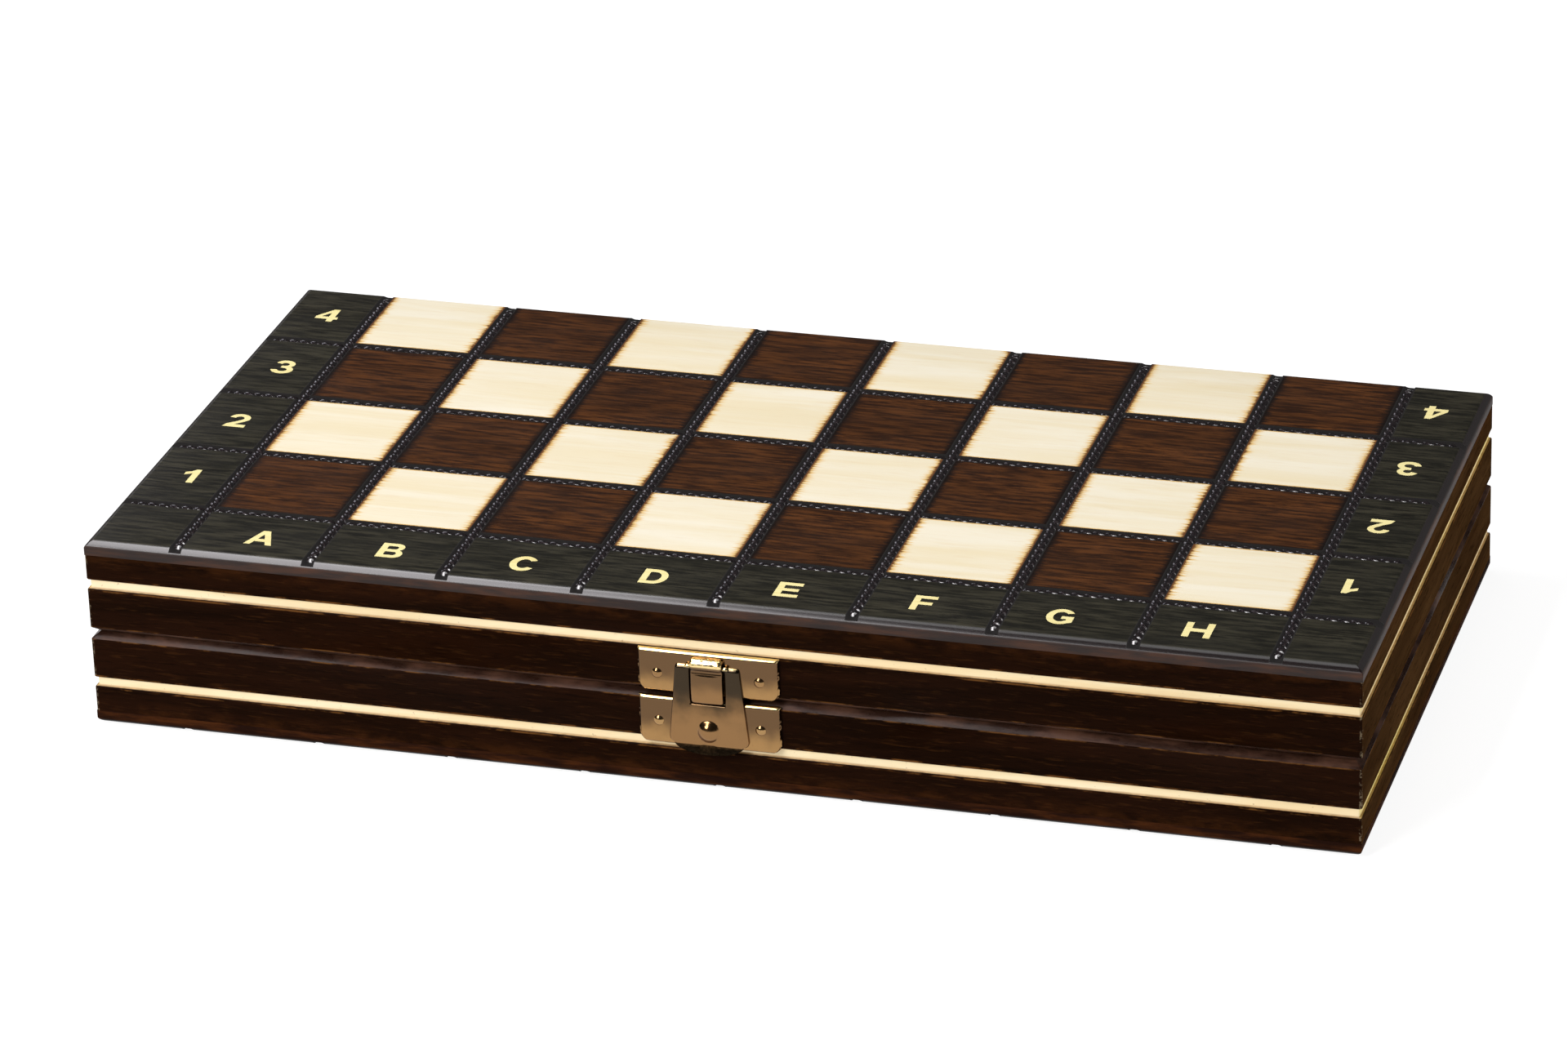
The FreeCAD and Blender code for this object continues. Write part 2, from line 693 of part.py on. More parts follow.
def at_wall(thing, label):
    """Latch parts are placed on the front wall at the meeting plane."""
    put(thing, label, y=FRONT, z="Sizes.leaf_height")


def latch_upper_plate():
    """The plate on the lid, whose tongue rolls over the hasp's top bar and fills its window."""
    body = pan("latch_upper", "Sizes.upper_pan_wide", "Sizes.upper_pan_top",
               "Sizes.upper_pan_bottom", "Sizes.pan_corner")
    nail_holes(body, "Sizes.upper_nail_high")
    out, high = "Sizes.hasp_pivot_out", "Sizes.hasp_pivot_high"
    inner, outer = "Sizes.roll_inner", "Sizes.roll_outer"
    back = "Sizes.tongue_root"
    reach = f"({out} - {back})"
    tongue = outline(sketch_on(body, "YZ_Plane", "Tongue"), [
        (f"-{back}", f"{high} + sqrt({outer} ^ 2 - {reach} ^ 2)"),
        (f"-{out}", f"{high} + {outer}", f"-({out} + {outer})", high),
        (f"-({out} + {outer} - Sizes.tongue_bow_out)", f"{high} * 0.4",
         "-Sizes.tongue_end_out", "Sizes.tongue_foot"),
        ("-Sizes.tongue_end_in", "Sizes.tongue_foot"),
        (f"-({out} + {inner} - Sizes.tongue_bow_in)", f"{high} * 0.4",
         f"-({out} + {inner})", high),
        (f"-{out}", f"{high} + {inner}", f"-{back}",
         f"{high} + sqrt({inner} ^ 2 - {reach} ^ 2)"),
    ])
    pad(body, tongue, "Sizes.tongue_wide", "TonguePad", side="Symmetric")
    at_wall(body, "latch_upper_plate")


def latch_lower_plate():
    """The plate on the lower leaf, with the small bump that the hasp's dome snaps over."""
    body = pan("latch_lower", "Sizes.lower_pan_wide", "Sizes.lower_pan_top",
               "Sizes.lower_pan_bottom", "Sizes.pan_corner")
    nail_holes(body, "Sizes.lower_nail_high")
    bump = cap("catch_bump", "Sizes.catch_wide", "Sizes.catch_high", "Sizes.pan_deep")
    at_wall(fuse([body, bump], "latch_lower_whole"), "latch_lower_plate")


def cap(name, wide, rise, face, x="0", high="Sizes.dome_line"):
    """The cap of a sphere that stands outward from the upright plane at face."""
    ball = f"((({wide} / 2) ^ 2 + {rise} ^ 2) / (2 * {rise}))"
    head = primitive("Sphere", name, Radius=ball, Angle1=f"asin(1 - {rise} / {ball})")
    return move(head, x, f"-({face}) + {ball} - {rise}", high, OUTWARD)


def latch_hasp():
    """The swinging hasp: top bar, window, snap dome and a lip to lift it by."""
    body = new_body("hasp")
    back = "Sizes.hasp_pivot_out - Sizes.hasp_thick / 2"
    top = "(Sizes.hasp_pivot_high + Sizes.hasp_top_rise)"
    top_half, foot_half = "(Sizes.hasp_top_wide / 2)", "(Sizes.hasp_foot_wide / 2)"
    corner = "Sizes.hasp_corner"
    turn = f"0.293 * {corner}"
    plate = outline(sketch_on(body, "XZ_Plane", "HaspOutline", back), [
        (f"-{top_half}", top),
        (f"-{foot_half}", f"Sizes.hasp_foot + {corner}"),
        (f"-{foot_half} + {turn}", f"Sizes.hasp_foot + {turn}",
         f"-{foot_half} + {corner}", "Sizes.hasp_foot"),
        (f"{foot_half} - {corner}", "Sizes.hasp_foot"),
        (f"{foot_half} - {turn}", f"Sizes.hasp_foot + {turn}",
         foot_half, f"Sizes.hasp_foot + {corner}"),
        (top_half, top),
    ])
    pad(body, plate, "Sizes.hasp_thick", "HaspPlate")
    window = rectangle(sketch_on(body, "XZ_Plane", "Window"), "-Sizes.window_wide / 2",
                       "Sizes.window_bottom", "Sizes.window_wide / 2", "Sizes.window_top")
    pocket(body, window, "WindowCut", side="Symmetric")
    face = "Sizes.hasp_pivot_out + Sizes.hasp_thick / 2"
    lip = outline(sketch_on(body, "YZ_Plane", "Lip"), [
        (f"-({back})", "Sizes.hasp_foot + Sizes.lip_root"),
        (f"-({back})", "Sizes.hasp_foot"),
        (f"-({back} + Sizes.lip_bow)", "Sizes.lip_end * 0.55 + Sizes.hasp_foot * 0.45",
         "-(Sizes.lip_out - Sizes.hasp_thick * 0.8)", "Sizes.lip_end"),
        ("-Sizes.lip_out", "Sizes.lip_end + Sizes.hasp_thick * 0.5"),
        (f"-({face} + Sizes.lip_bow)", "Sizes.lip_end * 0.45 + Sizes.hasp_foot * 0.55",
         f"-({face})", "Sizes.hasp_foot + Sizes.lip_root"),
    ])
    pad(body, lip, "Sizes.lip_wide", "LipPad", side="Symmetric")
    for sign, side in (("-", "Left"), ("", "Right")):
        half = f"{sign}Sizes.lip_wide / 2"
        trim = outline(sketch_on(body, "XZ_Plane", f"{side}Trim"), [
            (half, "Sizes.hasp_foot"),
            (f"{half} * 0.78", "Sizes.lip_end + Sizes.lip_trim_rise",
             f"{half} * 0.35", "Sizes.lip_end - Sizes.lip_trim_over"),
            (f"{half} * 1.2", "Sizes.lip_end - Sizes.lip_trim_over"),
            (f"{half} * 1.2", "Sizes.hasp_foot"),
        ])
        pocket(body, trim, f"{side}TrimCut", side="Symmetric")
    dome = cap("hasp_dome", "Sizes.dome_wide", "Sizes.dome_high", face)
    hollow = cap("hasp_dome_hollow", "(Sizes.dome_wide - 2 * Sizes.sheet_thick)",
                 "Sizes.dome_high", back)
    at_wall(cut(fuse([body, dome], "hasp_domed"), hollow, "hasp_whole"), "latch_hasp")


def latch_nails(label, high):
    """Two round-headed nails through one latch plate."""
    pieces = []
    for sign, side in (("-", "left"), ("", "right")):
        x = f"{sign}Sizes.nail_line"
        head = cap(f"{label}_{side}_head", "Sizes.nail_head", "Sizes.nail_head_high",
                   "Sizes.pan_deep", x, high)
        shank = primitive("Cylinder", f"{label}_{side}_shank", Radius="Sizes.nail_shank / 2",
                          Height="Sizes.nail_length + Sizes.nail_head_high / 2")
        move(shank, x, "Sizes.nail_length - Sizes.pan_deep", high, OUTWARD)
        pieces.append(fuse([head, shank], f"{label}_{side}"))
    at_wall(group(pieces, f"{label}_pair"), label)


# Hinges: drawn about the pin's middle, the leaf's inside towards -Y -------------------------


def knuckle(name, start, end):
    barrel = primitive("Cylinder", name, Radius="Sizes.knuckle_radius",
                       Height=f"({end}) - ({start})")
    return move(barrel, start, rotation=ALONG_X)


def hinge_plate(side, leaf):
    """A hinge wing with its knuckles: two outer ones below, the middle one on the lid."""
    name = f"{leaf}_{side}_hinge"
    half, inner = "Sizes.hinge_long / 2", "Sizes.knuckle_half"
    wing = primitive("Box", f"{name}_wing", Length="Sizes.hinge_long",
                     Width="Sizes.hinge_wing", Height="Sizes.hinge_sheet")
    move(wing, f"-{half}", "-Sizes.hinge_wing - Sizes.hinge_gap",
         "-Sizes.hinge_clear - Sizes.hinge_sheet")
    gap = "Sizes.knuckle_space"
    clear = "Sizes.knuckle_radius + Sizes.knuckle_play"
    if leaf == "lower":
        barrels = [knuckle(f"{name}_knuckle_1", f"-{half}", f"-{inner} - {gap}"),
                   knuckle(f"{name}_knuckle_2", f"{inner} + {gap}", half)]
        spaces = [(f"-{inner} - {gap}", f"2 * ({inner} + {gap})")]
    else:
        barrels = [knuckle(f"{name}_knuckle_1", f"-{inner}", inner)]
        outer = f"{half} - {inner} + 1"
        spaces = [(f"-{half} - 1", outer), (inner, outer)]
    cutters = []
    for number_of, (start, long) in enumerate(spaces, start=1):
        space = primitive("Cylinder", f"{name}_space_{number_of}", Radius=clear, Height=long)
        cutters.append(move(space, start, rotation=ALONG_X))
    trimmed = cut(wing, fuse(cutters, f"{name}_spaces") if len(cutters) > 1 else cutters[0],
                  f"{name}_trimmed")
    whole = fuse([trimmed] + barrels, f"{name}_whole")
    bore = primitive("Cylinder", f"{name}_bore", Radius="Sizes.hinge_bore",
                     Height="Sizes.hinge_long + 2")
    holes = [move(bore, f"-{half} - 1", rotation=ALONG_X)]
    for sign in ("-", ""):
        spot = "left" if sign else "right"
        sink = primitive("Cone", f"{name}_{spot}_sink", Radius1="Sizes.screw_neck / 2",
                         Radius2="Sizes.screw_head / 2", Height="Sizes.screw_head_high")
        move(sink, f"{sign}Sizes.screw_line", "-Sizes.screw_inset",
             "-Sizes.hinge_clear - Sizes.screw_head_high")
        hole = primitive("Cylinder", f"{name}_{spot}_hole", Radius="Sizes.screw_neck / 2",
                         Height="Sizes.hinge_sheet + 1")
        move(hole, f"{sign}Sizes.screw_line", "-Sizes.screw_inset",
             "-Sizes.hinge_clear - Sizes.hinge_sheet - 1")
        holes += [sink, hole]
    plate = cut(whole, fuse(holes, f"{name}_holes"), name)
    return hinge_put(plate, f"{side}_hinge_{leaf}_plate", side, leaf)


def hinge_put(thing, label, side, leaf):
    """Place a hinge part on the rear edge; the turned-over leaf mirrors left and right."""
    sign = "-" if (side == "left") == (leaf == "lower") else ""
    return put(thing, label, leaf, x=f"{sign}Sizes.hinge_line",
               y=f"{REAR} + Sizes.hinge_gap", z="Sizes.leaf_height")


def hinge_pin(side):
    """The pin, headed at both ends."""
    name = f"{side}_pin"
    shaft = primitive("Cylinder", f"{name}_shaft", Radius="Sizes.hinge_pin",
                      Height="Sizes.hinge_long + Sizes.pin_head_long")
    move(shaft, "-Sizes.hinge_long / 2 - Sizes.pin_head_long / 2", rotation=ALONG_X)
    heads = []
    for spot, start in (("left", "-Sizes.hinge_long / 2 - Sizes.pin_head_long"),
                        ("right", "Sizes.hinge_long / 2")):
        head = primitive("Cylinder", f"{name}_{spot}_head", Radius="Sizes.pin_head",
                         Height="Sizes.pin_head_long")
        heads.append(move(head, start, rotation=ALONG_X))
    hinge_put(fuse([shaft] + heads, name), f"{side}_hinge_pin", side, "lower")


def hinge_screws(leaf):
    """The four countersunk screws that hold one leaf's hinge wings."""
    pieces = []
    for side, middle in (("left", "-Sizes.hinge_line"), ("right", "Sizes.hinge_line")):
        for spot, sign in (("left", "-"), ("right", "+")):
            name = f"{leaf}_{side}_{spot}_screw"
            x = f"{middle} {sign} Sizes.screw_line"
            y = f"{REAR} + Sizes.hinge_gap - Sizes.screw_inset"
            face = "Sizes.leaf_height - Sizes.hinge_clear"
            head = primitive("Cone", f"{name}_head", Radius1="Sizes.screw_neck / 2",
                             Radius2="Sizes.screw_head / 2", Height="Sizes.screw_head_high")
            move(head, x, y, f"{face} - Sizes.screw_head_high")
            shank = primitive("Cylinder", f"{name}_shank", Radius="Sizes.screw_neck / 2",
                              Height="Sizes.screw_length")
            move(shank, x, y, f"{face} - Sizes.screw_length - Sizes.screw_head_high")
            pieces.append(fuse([head, shank], name))
    put(group(pieces, f"{leaf}_screws"), f"{leaf}_hinge_screws", leaf)


# Assembly ----------------------------------------------------------------------------------

for leaf_name, men_colour in (("lower", "white"), ("upper", "black")):
    playing_panel(leaf_name)
    rails(leaf_name)
    felt_lining(leaf_name)
    combs(leaf_name)
    hinge_screws(leaf_name)
    for hinge_side in ("left", "right"):
        hinge_plate(hinge_side, leaf_name)
    men(leaf_name, men_colour)
for hinge_side in ("left", "right"):
    hinge_pin(hinge_side)
latch_upper_plate()
latch_lower_plate()
latch_hasp()
latch_nails("latch_upper_nails", "Sizes.upper_nail_high")
latch_nails("latch_lower_nails", "Sizes.lower_nail_high")

doc.recompute()
for item in doc.Objects:
    if {"Invalid", "Error"} & set(item.State):
        raise ValueError(f"{item.Label}: {item.State}")
for item in nodes:
    if item.Shape.isNull() or not item.Shape.isValid():
        raise ValueError(f"{item.Label} has no valid shape")
os.makedirs("parts", exist_ok=True)
for item in nodes:
    item.Shape.exportStep(f"parts/{item.Label}.step")
print(f"{len(nodes)} sub-parts written")
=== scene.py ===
"""The looks of a folding chess case: two hinged leaves, a hasp latch, and the men inside.

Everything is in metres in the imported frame: +X from file A to file H, +Y from the latch to the
hinges, +Z up, the case closed.
"""
import math
import random

import bmesh
import bpy
import numpy as np
from mathutils import Matrix, Vector


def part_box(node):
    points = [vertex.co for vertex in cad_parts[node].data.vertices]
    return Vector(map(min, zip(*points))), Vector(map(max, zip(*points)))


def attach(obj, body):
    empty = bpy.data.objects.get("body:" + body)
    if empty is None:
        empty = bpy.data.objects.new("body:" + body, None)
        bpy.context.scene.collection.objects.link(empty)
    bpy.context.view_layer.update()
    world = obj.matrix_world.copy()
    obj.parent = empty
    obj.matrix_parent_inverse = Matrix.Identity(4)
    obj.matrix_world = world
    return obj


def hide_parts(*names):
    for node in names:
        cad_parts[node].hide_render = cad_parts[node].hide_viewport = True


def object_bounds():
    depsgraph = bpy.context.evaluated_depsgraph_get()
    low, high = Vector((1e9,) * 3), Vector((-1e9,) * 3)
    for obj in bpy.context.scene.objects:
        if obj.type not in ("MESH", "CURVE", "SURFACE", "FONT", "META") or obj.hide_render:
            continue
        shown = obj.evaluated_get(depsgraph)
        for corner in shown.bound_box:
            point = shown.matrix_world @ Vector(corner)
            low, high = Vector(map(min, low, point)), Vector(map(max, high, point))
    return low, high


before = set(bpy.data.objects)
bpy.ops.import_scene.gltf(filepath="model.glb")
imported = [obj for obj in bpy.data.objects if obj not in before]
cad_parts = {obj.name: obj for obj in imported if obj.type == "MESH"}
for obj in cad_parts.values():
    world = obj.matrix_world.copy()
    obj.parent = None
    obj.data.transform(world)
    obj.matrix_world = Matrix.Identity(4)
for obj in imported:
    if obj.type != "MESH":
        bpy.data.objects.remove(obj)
cad_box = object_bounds()

MM = 0.001
FILES, RANKS = 8, 4

# places read from the frame
PANEL_LOW, PANEL_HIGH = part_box("upper_playing_panel")
LEFT, RIGHT = PANEL_LOW.x, PANEL_HIGH.x
FRONT, REAR = PANEL_LOW.y, PANEL_HIGH.y
TOP = PANEL_HIGH.z
MEETING = TOP / 2
PANEL_THICK = PANEL_HIGH.z - PANEL_LOW.z

# the playing face, which lies a little under its printed coordinates
PITCH = 37 * MM
LEFT_BORDER = 25.5 * MM
FIRST_FILE = LEFT + LEFT_BORDER
FIRST_RANK = REAR - RANKS * PITCH
PRINT_DEEP, PRINT_THICK = 0.042 * MM, 0.03 * MM
# its hand-sanded rim: how far in, how far down, how full the curve
RIM_RUN, RIM_FALL, RIM_FULL = 2.35 * MM, 1.9 * MM, 1.32
# its grooves, each with a flat floor and two round shoulders
GROOVE_DEEP, SHOULDER_RUN = 1.0 * MM, 0.3 * MM
FILE_FLAT, RANK_FLAT = 1.42 * MM, 1.3 * MM

# the rails' section: the pale stripe with its eased lips, and the bevel where the leaves meet
STRIPE_LINE, STRIPE_HALF, STRIPE_DEEP, LIP = 12.6 * MM, 1.3 * MM, 0.8 * MM, 0.45 * MM
RAIL_THICK = 9.0 * MM
RIM_DEEP, RIM_HIGH = 2.2 * MM, 1.7 * MM
RIM_LINE = MEETING - RIM_HIGH


# Node graphs -------------------------------------------------------------------------------


def reckoned(kind, swapped=False):
    """A Python operator that adds a math node of one kind."""
    def apply(self, other):
        return self.paint.math(kind, *((other, self) if swapped else (self, other)))
    return apply


class Wire:
    """One value of a node graph, which can be reckoned with like a number."""

    def __init__(self, paint, socket):
        self.paint, self.socket = paint, socket

    def __abs__(self):
        return self.paint.math("ABSOLUTE", self)

    __add__, __radd__ = reckoned("ADD"), reckoned("ADD", True)
    __sub__, __rsub__ = reckoned("SUBTRACT"), reckoned("SUBTRACT", True)
    __mul__, __rmul__ = reckoned("MULTIPLY"), reckoned("MULTIPLY", True)
    __truediv__ = reckoned("DIVIDE")
    __gt__, __lt__ = reckoned("GREATER_THAN"), reckoned("LESS_THAN")


class Paint:
    """A material's node graph, with short calls for the nodes it needs."""

    def __init__(self, name):
        self.material = bpy.data.materials.new(name)
        self.material.use_nodes = True
        self.tree = self.material.node_tree
        self.shader = self.tree.nodes["Principled BSDF"]

    def link(self, value, socket):
        if isinstance(value, Wire):
            self.tree.links.new(value.socket, socket)
        elif isinstance(value, tuple) and len(value) == 3 and socket.type == "RGBA":
            socket.default_value = (*value, 1)
        else:
            socket.default_value = value

    def node(self, kind, inputs=(), out=0, **settings):
        """Add a node, feed its inputs by name or number, and return one of its outputs."""
        node = self.tree.nodes.new(f"ShaderNode{kind}")
        for name, value in settings.items():
            setattr(node, name, value)
        for key, value in dict(inputs).items():
            self.link(value, node.inputs[key])
        return Wire(self, node.outputs[out])

    def math(self, operation, *values):
        return self.node("Math", enumerate(values), operation=operation)

    def least(self, a, b):
        return self.math("MINIMUM", a, b)

    def most(self, a, b):
        return self.math("MAXIMUM", a, b)

    def ramp(self, value, low, high, out_low=0.0, out_high=1.0):
        """Value from low to high, turned into out_low to out_high."""
        return self.node("MapRange", enumerate((value, low, high, out_low, out_high)),
                         interpolation_type="SMOOTHSTEP")

    def place(self):
        """The point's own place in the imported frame."""
        return self.node("TexCoord", out="Object")

    def stored(self, name):
        """A vector stored on the mesh."""
        return self.node("Attribute", out="Vector", attribute_name=name)

    def split(self, vector):
        node = self.node("SeparateXYZ", {0: vector}).socket.node
        return [Wire(self, output) for output in node.outputs]

    def join(self, x, y, z):
        return self.node("CombineXYZ", enumerate((x, y, z)))

    def noise(self, vector, scale=1.0, detail=4.0, rough=0.55, warp=0.0):
        """Noise of one scale, or of a scale for each axis."""
        if isinstance(scale, tuple):
            vector = self.node("Mapping", {"Vector": vector, "Scale": scale})
            scale = 1.0
        return self.node("TexNoise", {
            "Vector": vector, "Scale": scale, "Detail": detail, "Roughness": rough,
            "Distortion": warp}, "Fac")

    def mix(self, share, a, b):
        """A colour between a and b."""
        return self.node("Mix", {"Factor": share, "A": a, "B": b}, "Result", data_type="RGBA")

    def mix_value(self, share, a, b):
        """A value between a and b."""
        return self.node("Mix", {0: share, 2: a, 3: b})

    def bump(self, height, strength, distance):
        return self.node("Bump", {"Strength": strength, "Distance": distance, "Height": height})

    def finish(self, color, rough, normal=None, **sockets):
        """Feed the shader: its colour, roughness, relief and any plain values by name."""
        self.link(color, self.shader.inputs["Base Color"])
        self.link(rough, self.shader.inputs["Roughness"])
        if normal is not None:
            self.link(normal, self.shader.inputs["Normal"])
        for name, value in sockets.items():
            self.shader.inputs[name.replace("_", " ")].default_value = value
        return self.material


def srgb(red, green, blue):
    """A colour as a screen shows it, turned into scene light."""
    def linear(part):
        part /= 255
        return part / 12.92 if part <= 0.04045 else ((part + 0.055) / 1.055) ** 2.4
    return tuple(linear(part) for part in (red, green, blue))


def wood_grain(paint, place, along="x", fine=1.0):
    """Fibre streaks and slow tone changes of a board whose fibres run along one axis."""
    def stretched(lengthwise, crosswise):
        return tuple(lengthwise if axis == along else crosswise for axis in "xyz")
    fibre = paint.noise(place, stretched(fine * 95, fine * 820), 5, 0.7)
    tone = paint.noise(place, stretched(9, 110), 5, 0.6, 0.8)
    return fibre, tone


# Materials ---------------------------------------------------------------------------------


def board_paint(name, gloss, rim_tone):
    """The playing face: pale and brown squares, a green-black border, scorched at the grooves.

    The mesh stores u and v, the place in squares from the first file and the first rank.
    """
    paint = Paint(name)
    u, v, height = paint.split(paint.stored("board"))
    place = paint.place()
    fibre, tone = wood_grain(paint, place)
    flat_place = paint.join(u, v, 0.0)

    on_board = (u > 0.0) * (u < FILES) * (v > 0.0)
    even = 100.0
    steps = paint.math("FLOOR", u) + paint.math("FLOOR", v) + even
    pale = abs(paint.math("MODULO", steps, 2.0) - paint.split(paint.stored("parity"))[0]) > 0.5
    inside_u, inside_v = (paint.math("FRACT", part + even) for part in (u, v))
    near_u, near_v = (paint.least(part, 1.0 - part) for part in (inside_u, inside_v))
    # past the border's outer lines the nearest groove is the line itself
    near_v = paint.mix_value(v > RANKS - 0.5, near_v, inside_v)
    near_u = paint.mix_value(u < -0.5, near_u, abs(u))
    near_u = paint.mix_value(u > FILES + 0.5, near_u, u - FILES)

    def wood(light, dark, shade):
        """Light and dark fibres under the lacquer, in slow changes of tone."""
        color = paint.mix(paint.ramp(fibre, 0.36, 0.62), light, dark)
        return paint.mix(paint.ramp(tone, 0.35, 0.65) * 0.5, color, shade)

    cream = paint.mix(paint.ramp(tone, 0.3, 0.7), srgb(248, 241, 219), srgb(242, 229, 194))
    cream = paint.mix(paint.ramp(fibre, 0.5, 0.75) * 0.3, cream, srgb(230, 206, 162))
    brown = wood(srgb(96, 56, 24), srgb(38, 19, 8), srgb(48, 26, 10))
    border = wood(srgb(60, 57, 45), srgb(21, 20, 15), srgb(30, 29, 22))
    squares = paint.mix(pale, brown, cream)

    # scorch: feathered along the fibres at each square's left and right, thin at front and rear
    streak = paint.noise(flat_place, (1.5, 70, 1), 3, 0.6)
    ragged = paint.noise(flat_place, (26, 26, 1), 3, 0.6)
    reach = paint.ramp(streak, 0.35, 0.7) * 0.09 + 0.035
    toast = paint.ramp((near_u - 0.045) / reach, 0.0, 1.0, 1.0, 0.0)
    thin = paint.ramp(near_v - 0.0425, 0.0, ragged * 0.026 + 0.012, 0.85, 0.0)
    toast = paint.most(toast, thin)
    scorched = paint.mix(paint.ramp(toast, 0.0, 0.6), squares,
                         paint.mix(pale, srgb(36, 20, 11), srgb(234, 196, 126)))
    scorched = paint.mix(paint.ramp(toast, 0.6, 0.95), scorched,
                         paint.mix(pale, srgb(20, 11, 7), srgb(110, 68, 34)))
    color = paint.mix(on_board, border, scorched)
    # the grooves and their walls are burnt black
    burnt = paint.most(paint.ramp(near_u, 0.044, ragged * 0.010 + 0.047, 1.0, 0.0),
                       paint.ramp(near_v, 0.042, ragged * 0.006 + 0.0445, 1.0, 0.0))
    color = paint.mix(burnt, color, srgb(14, 10, 9))
    # down the rounding the lacquer is bare and glossy in rim_tone, and below it comes the walls' brown
    # stain;
    # on the underside leaf rim_tone is darker, painted shade on its downward rounding
    in_groove = paint.least(near_u, near_v) < 0.047
    turn = paint.ramp(height, -0.3 * MM, -0.06 * MM, 1.0, 0.0) * (
        1.0 - in_groove * (height > -1.1 * MM))
    wall = paint.ramp(height, -1.6 * MM, -1.15 * MM, 1.0, 0.0)
    rub = paint.noise(place, (60, 60, 400), 4, 0.6)
    color = paint.mix(turn, color, rim_tone)
    color = paint.mix(wall, color, paint.mix(
        paint.ramp(rub, 0.4, 0.7), srgb(30, 13, 6), srgb(66, 34, 12)))

    relief = (fibre * 0.35 + ragged * 0.15) * (1.0 - turn * 0.85)
    sheen = paint.ramp(paint.noise(place, (40, 90, 90), 3), 0.3, 0.7, 0.32, 0.4)
    rough = paint.mix_value(turn, paint.mix_value(burnt, sheen, 0.95), 0.17)
    # the side rims are dull
    from_side = paint.least(u - (LEFT - FIRST_FILE) / PITCH, (RIGHT - FIRST_FILE) / PITCH - u)
    from_front = v - (FRONT - FIRST_RANK) / PITCH
    rough = paint.mix_value(turn * (from_side < from_front), rough, 0.9)
    rough = paint.mix_value(wall, rough, 0.75)
    return paint.finish(color, rough, paint.bump(relief, 0.25, 0.00012),
                        Specular_IOR_Level=gloss)


def wall_paint(name, along, stain, bare_pale, gloss):
    """Dark lacquered rail, with the stripe groove cut through to pale wood."""
    paint = Paint(name)
    place = paint.place()
    x, y, z = paint.split(place)
    fibre, tone = wood_grain(paint, place, along, 1.5)
    dark = paint.mix(paint.ramp(tone, 0.3, 0.72), *stain)
    dark = paint.mix(paint.ramp(fibre, 0.5, 0.72) * 0.7, dark, srgb(9, 3, 1))
    across = {"x": (150, 900, 1300), "y": (900, 150, 1300)}[along]
    fleck = paint.noise(place, across, 4, 0.6)
    dark = paint.mix(paint.ramp(fleck, 0.54, 0.74) * 0.4, dark, srgb(60, 34, 13))
    from_face = MEETING - abs(z - MEETING)
    beside, before = RIGHT - abs(x), paint.least(y - FRONT, REAR - y)
    outside = paint.least(beside, before)
    worn = paint.noise(place, (120, 120, 300), 4, 0.65)
    # reddish where the stain thins towards the playing face, worn through on the arrises
    thin = paint.ramp(from_face, 9 * MM, 4 * MM) * paint.ramp(worn, 0.38, 0.66)
    dark = paint.mix(thin * 0.3, dark, srgb(74, 40, 14))
    from_lip = abs(abs(from_face - STRIPE_LINE) - (STRIPE_HALF + LIP))
    arris = paint.most(paint.ramp(abs(from_face - RIM_LINE), 0.0, 0.5 * MM, 1.0, 0.0),
                       paint.ramp(from_lip, 0.0, 0.4 * MM, 1.0, 0.0))
    arris = arris * paint.ramp(worn, 0.46, 0.62) * (outside < 0.6 * MM)
    dark = paint.mix(arris * 0.6, dark, srgb(128, 84, 42))
    # pale speckles along the upright corners: painted glints, highlights on the rough corner arris
    corner_glints = (paint.ramp(paint.most(beside, before), 0.5 * MM, 0.9 * MM, 1.0, 0.0)
               * paint.ramp(paint.noise(place, 900, 3, 0.7), 0.5, 0.62))
    dark = paint.mix(corner_glints * 0.55, dark, srgb(138, 122, 98))
    # the pale stripe is cut after staining
    ragged = (paint.noise(place, (500, 500, 900), 3) - 0.5) * (0.13 * MM)
    off_middle = abs(from_face - STRIPE_LINE) + ragged
    in_band = paint.ramp(off_middle, STRIPE_HALF - 0.05 * MM, STRIPE_HALF + 0.12 * MM, 1.0, 0.0)
    stripe = in_band * paint.ramp(outside, 0.2 * MM, 0.42 * MM) * (outside < 3 * MM)
    bare = paint.mix(paint.ramp(tone, 0.3, 0.7), bare_pale, srgb(246, 222, 174))
    speck = paint.noise(place, 700, 3, 0.7)
    bare = paint.mix(paint.ramp(speck, 0.64, 0.76) * 0.5, bare, srgb(150, 104, 58))
    # painted shade: the pale stripe darkens towards both lips, where the groove's edges shade it
    shade = paint.ramp(off_middle, 0.8 * MM, STRIPE_HALF, 0.0, 0.5)
    bare = paint.mix(shade, bare, srgb(176, 124, 64))
    color = paint.mix(stripe, dark, bare)
    lacquer = paint.ramp(fleck, 0.35, 0.7, 0.2, 0.32)
    rough = paint.mix_value(outside > 8 * MM, paint.mix_value(stripe, lacquer, 0.6), 0.5)
    return paint.finish(color, rough, paint.bump(fibre * 0.5 + fleck * 0.35, 0.3, 0.0002),
                        Specular_IOR_Level=gloss)


def rim_paint():
    """The bevelled rim where the leaves meet: a thick coat of lacquer over the dark stain, its brown
    painted lighter than the walls' as a painted reflection on the bevel.
    """
    paint = Paint("lacquered_rim_painted_sheen")
    drip = paint.noise(paint.place(), (90, 90, 500), 4, 0.6)
    # painted reflection: the bevel's brown is lighter than the walls' stain; the drip mottling is the
    # lacquer's own
    color = paint.mix(paint.ramp(drip, 0.4, 0.7), srgb(44, 26, 18), srgb(84, 56, 42))
    return paint.finish(color, paint.ramp(drip, 0.3, 0.7, 0.24, 0.4),
                        paint.bump(drip, 0.4, 0.0002), Specular_IOR_Level=0.14)


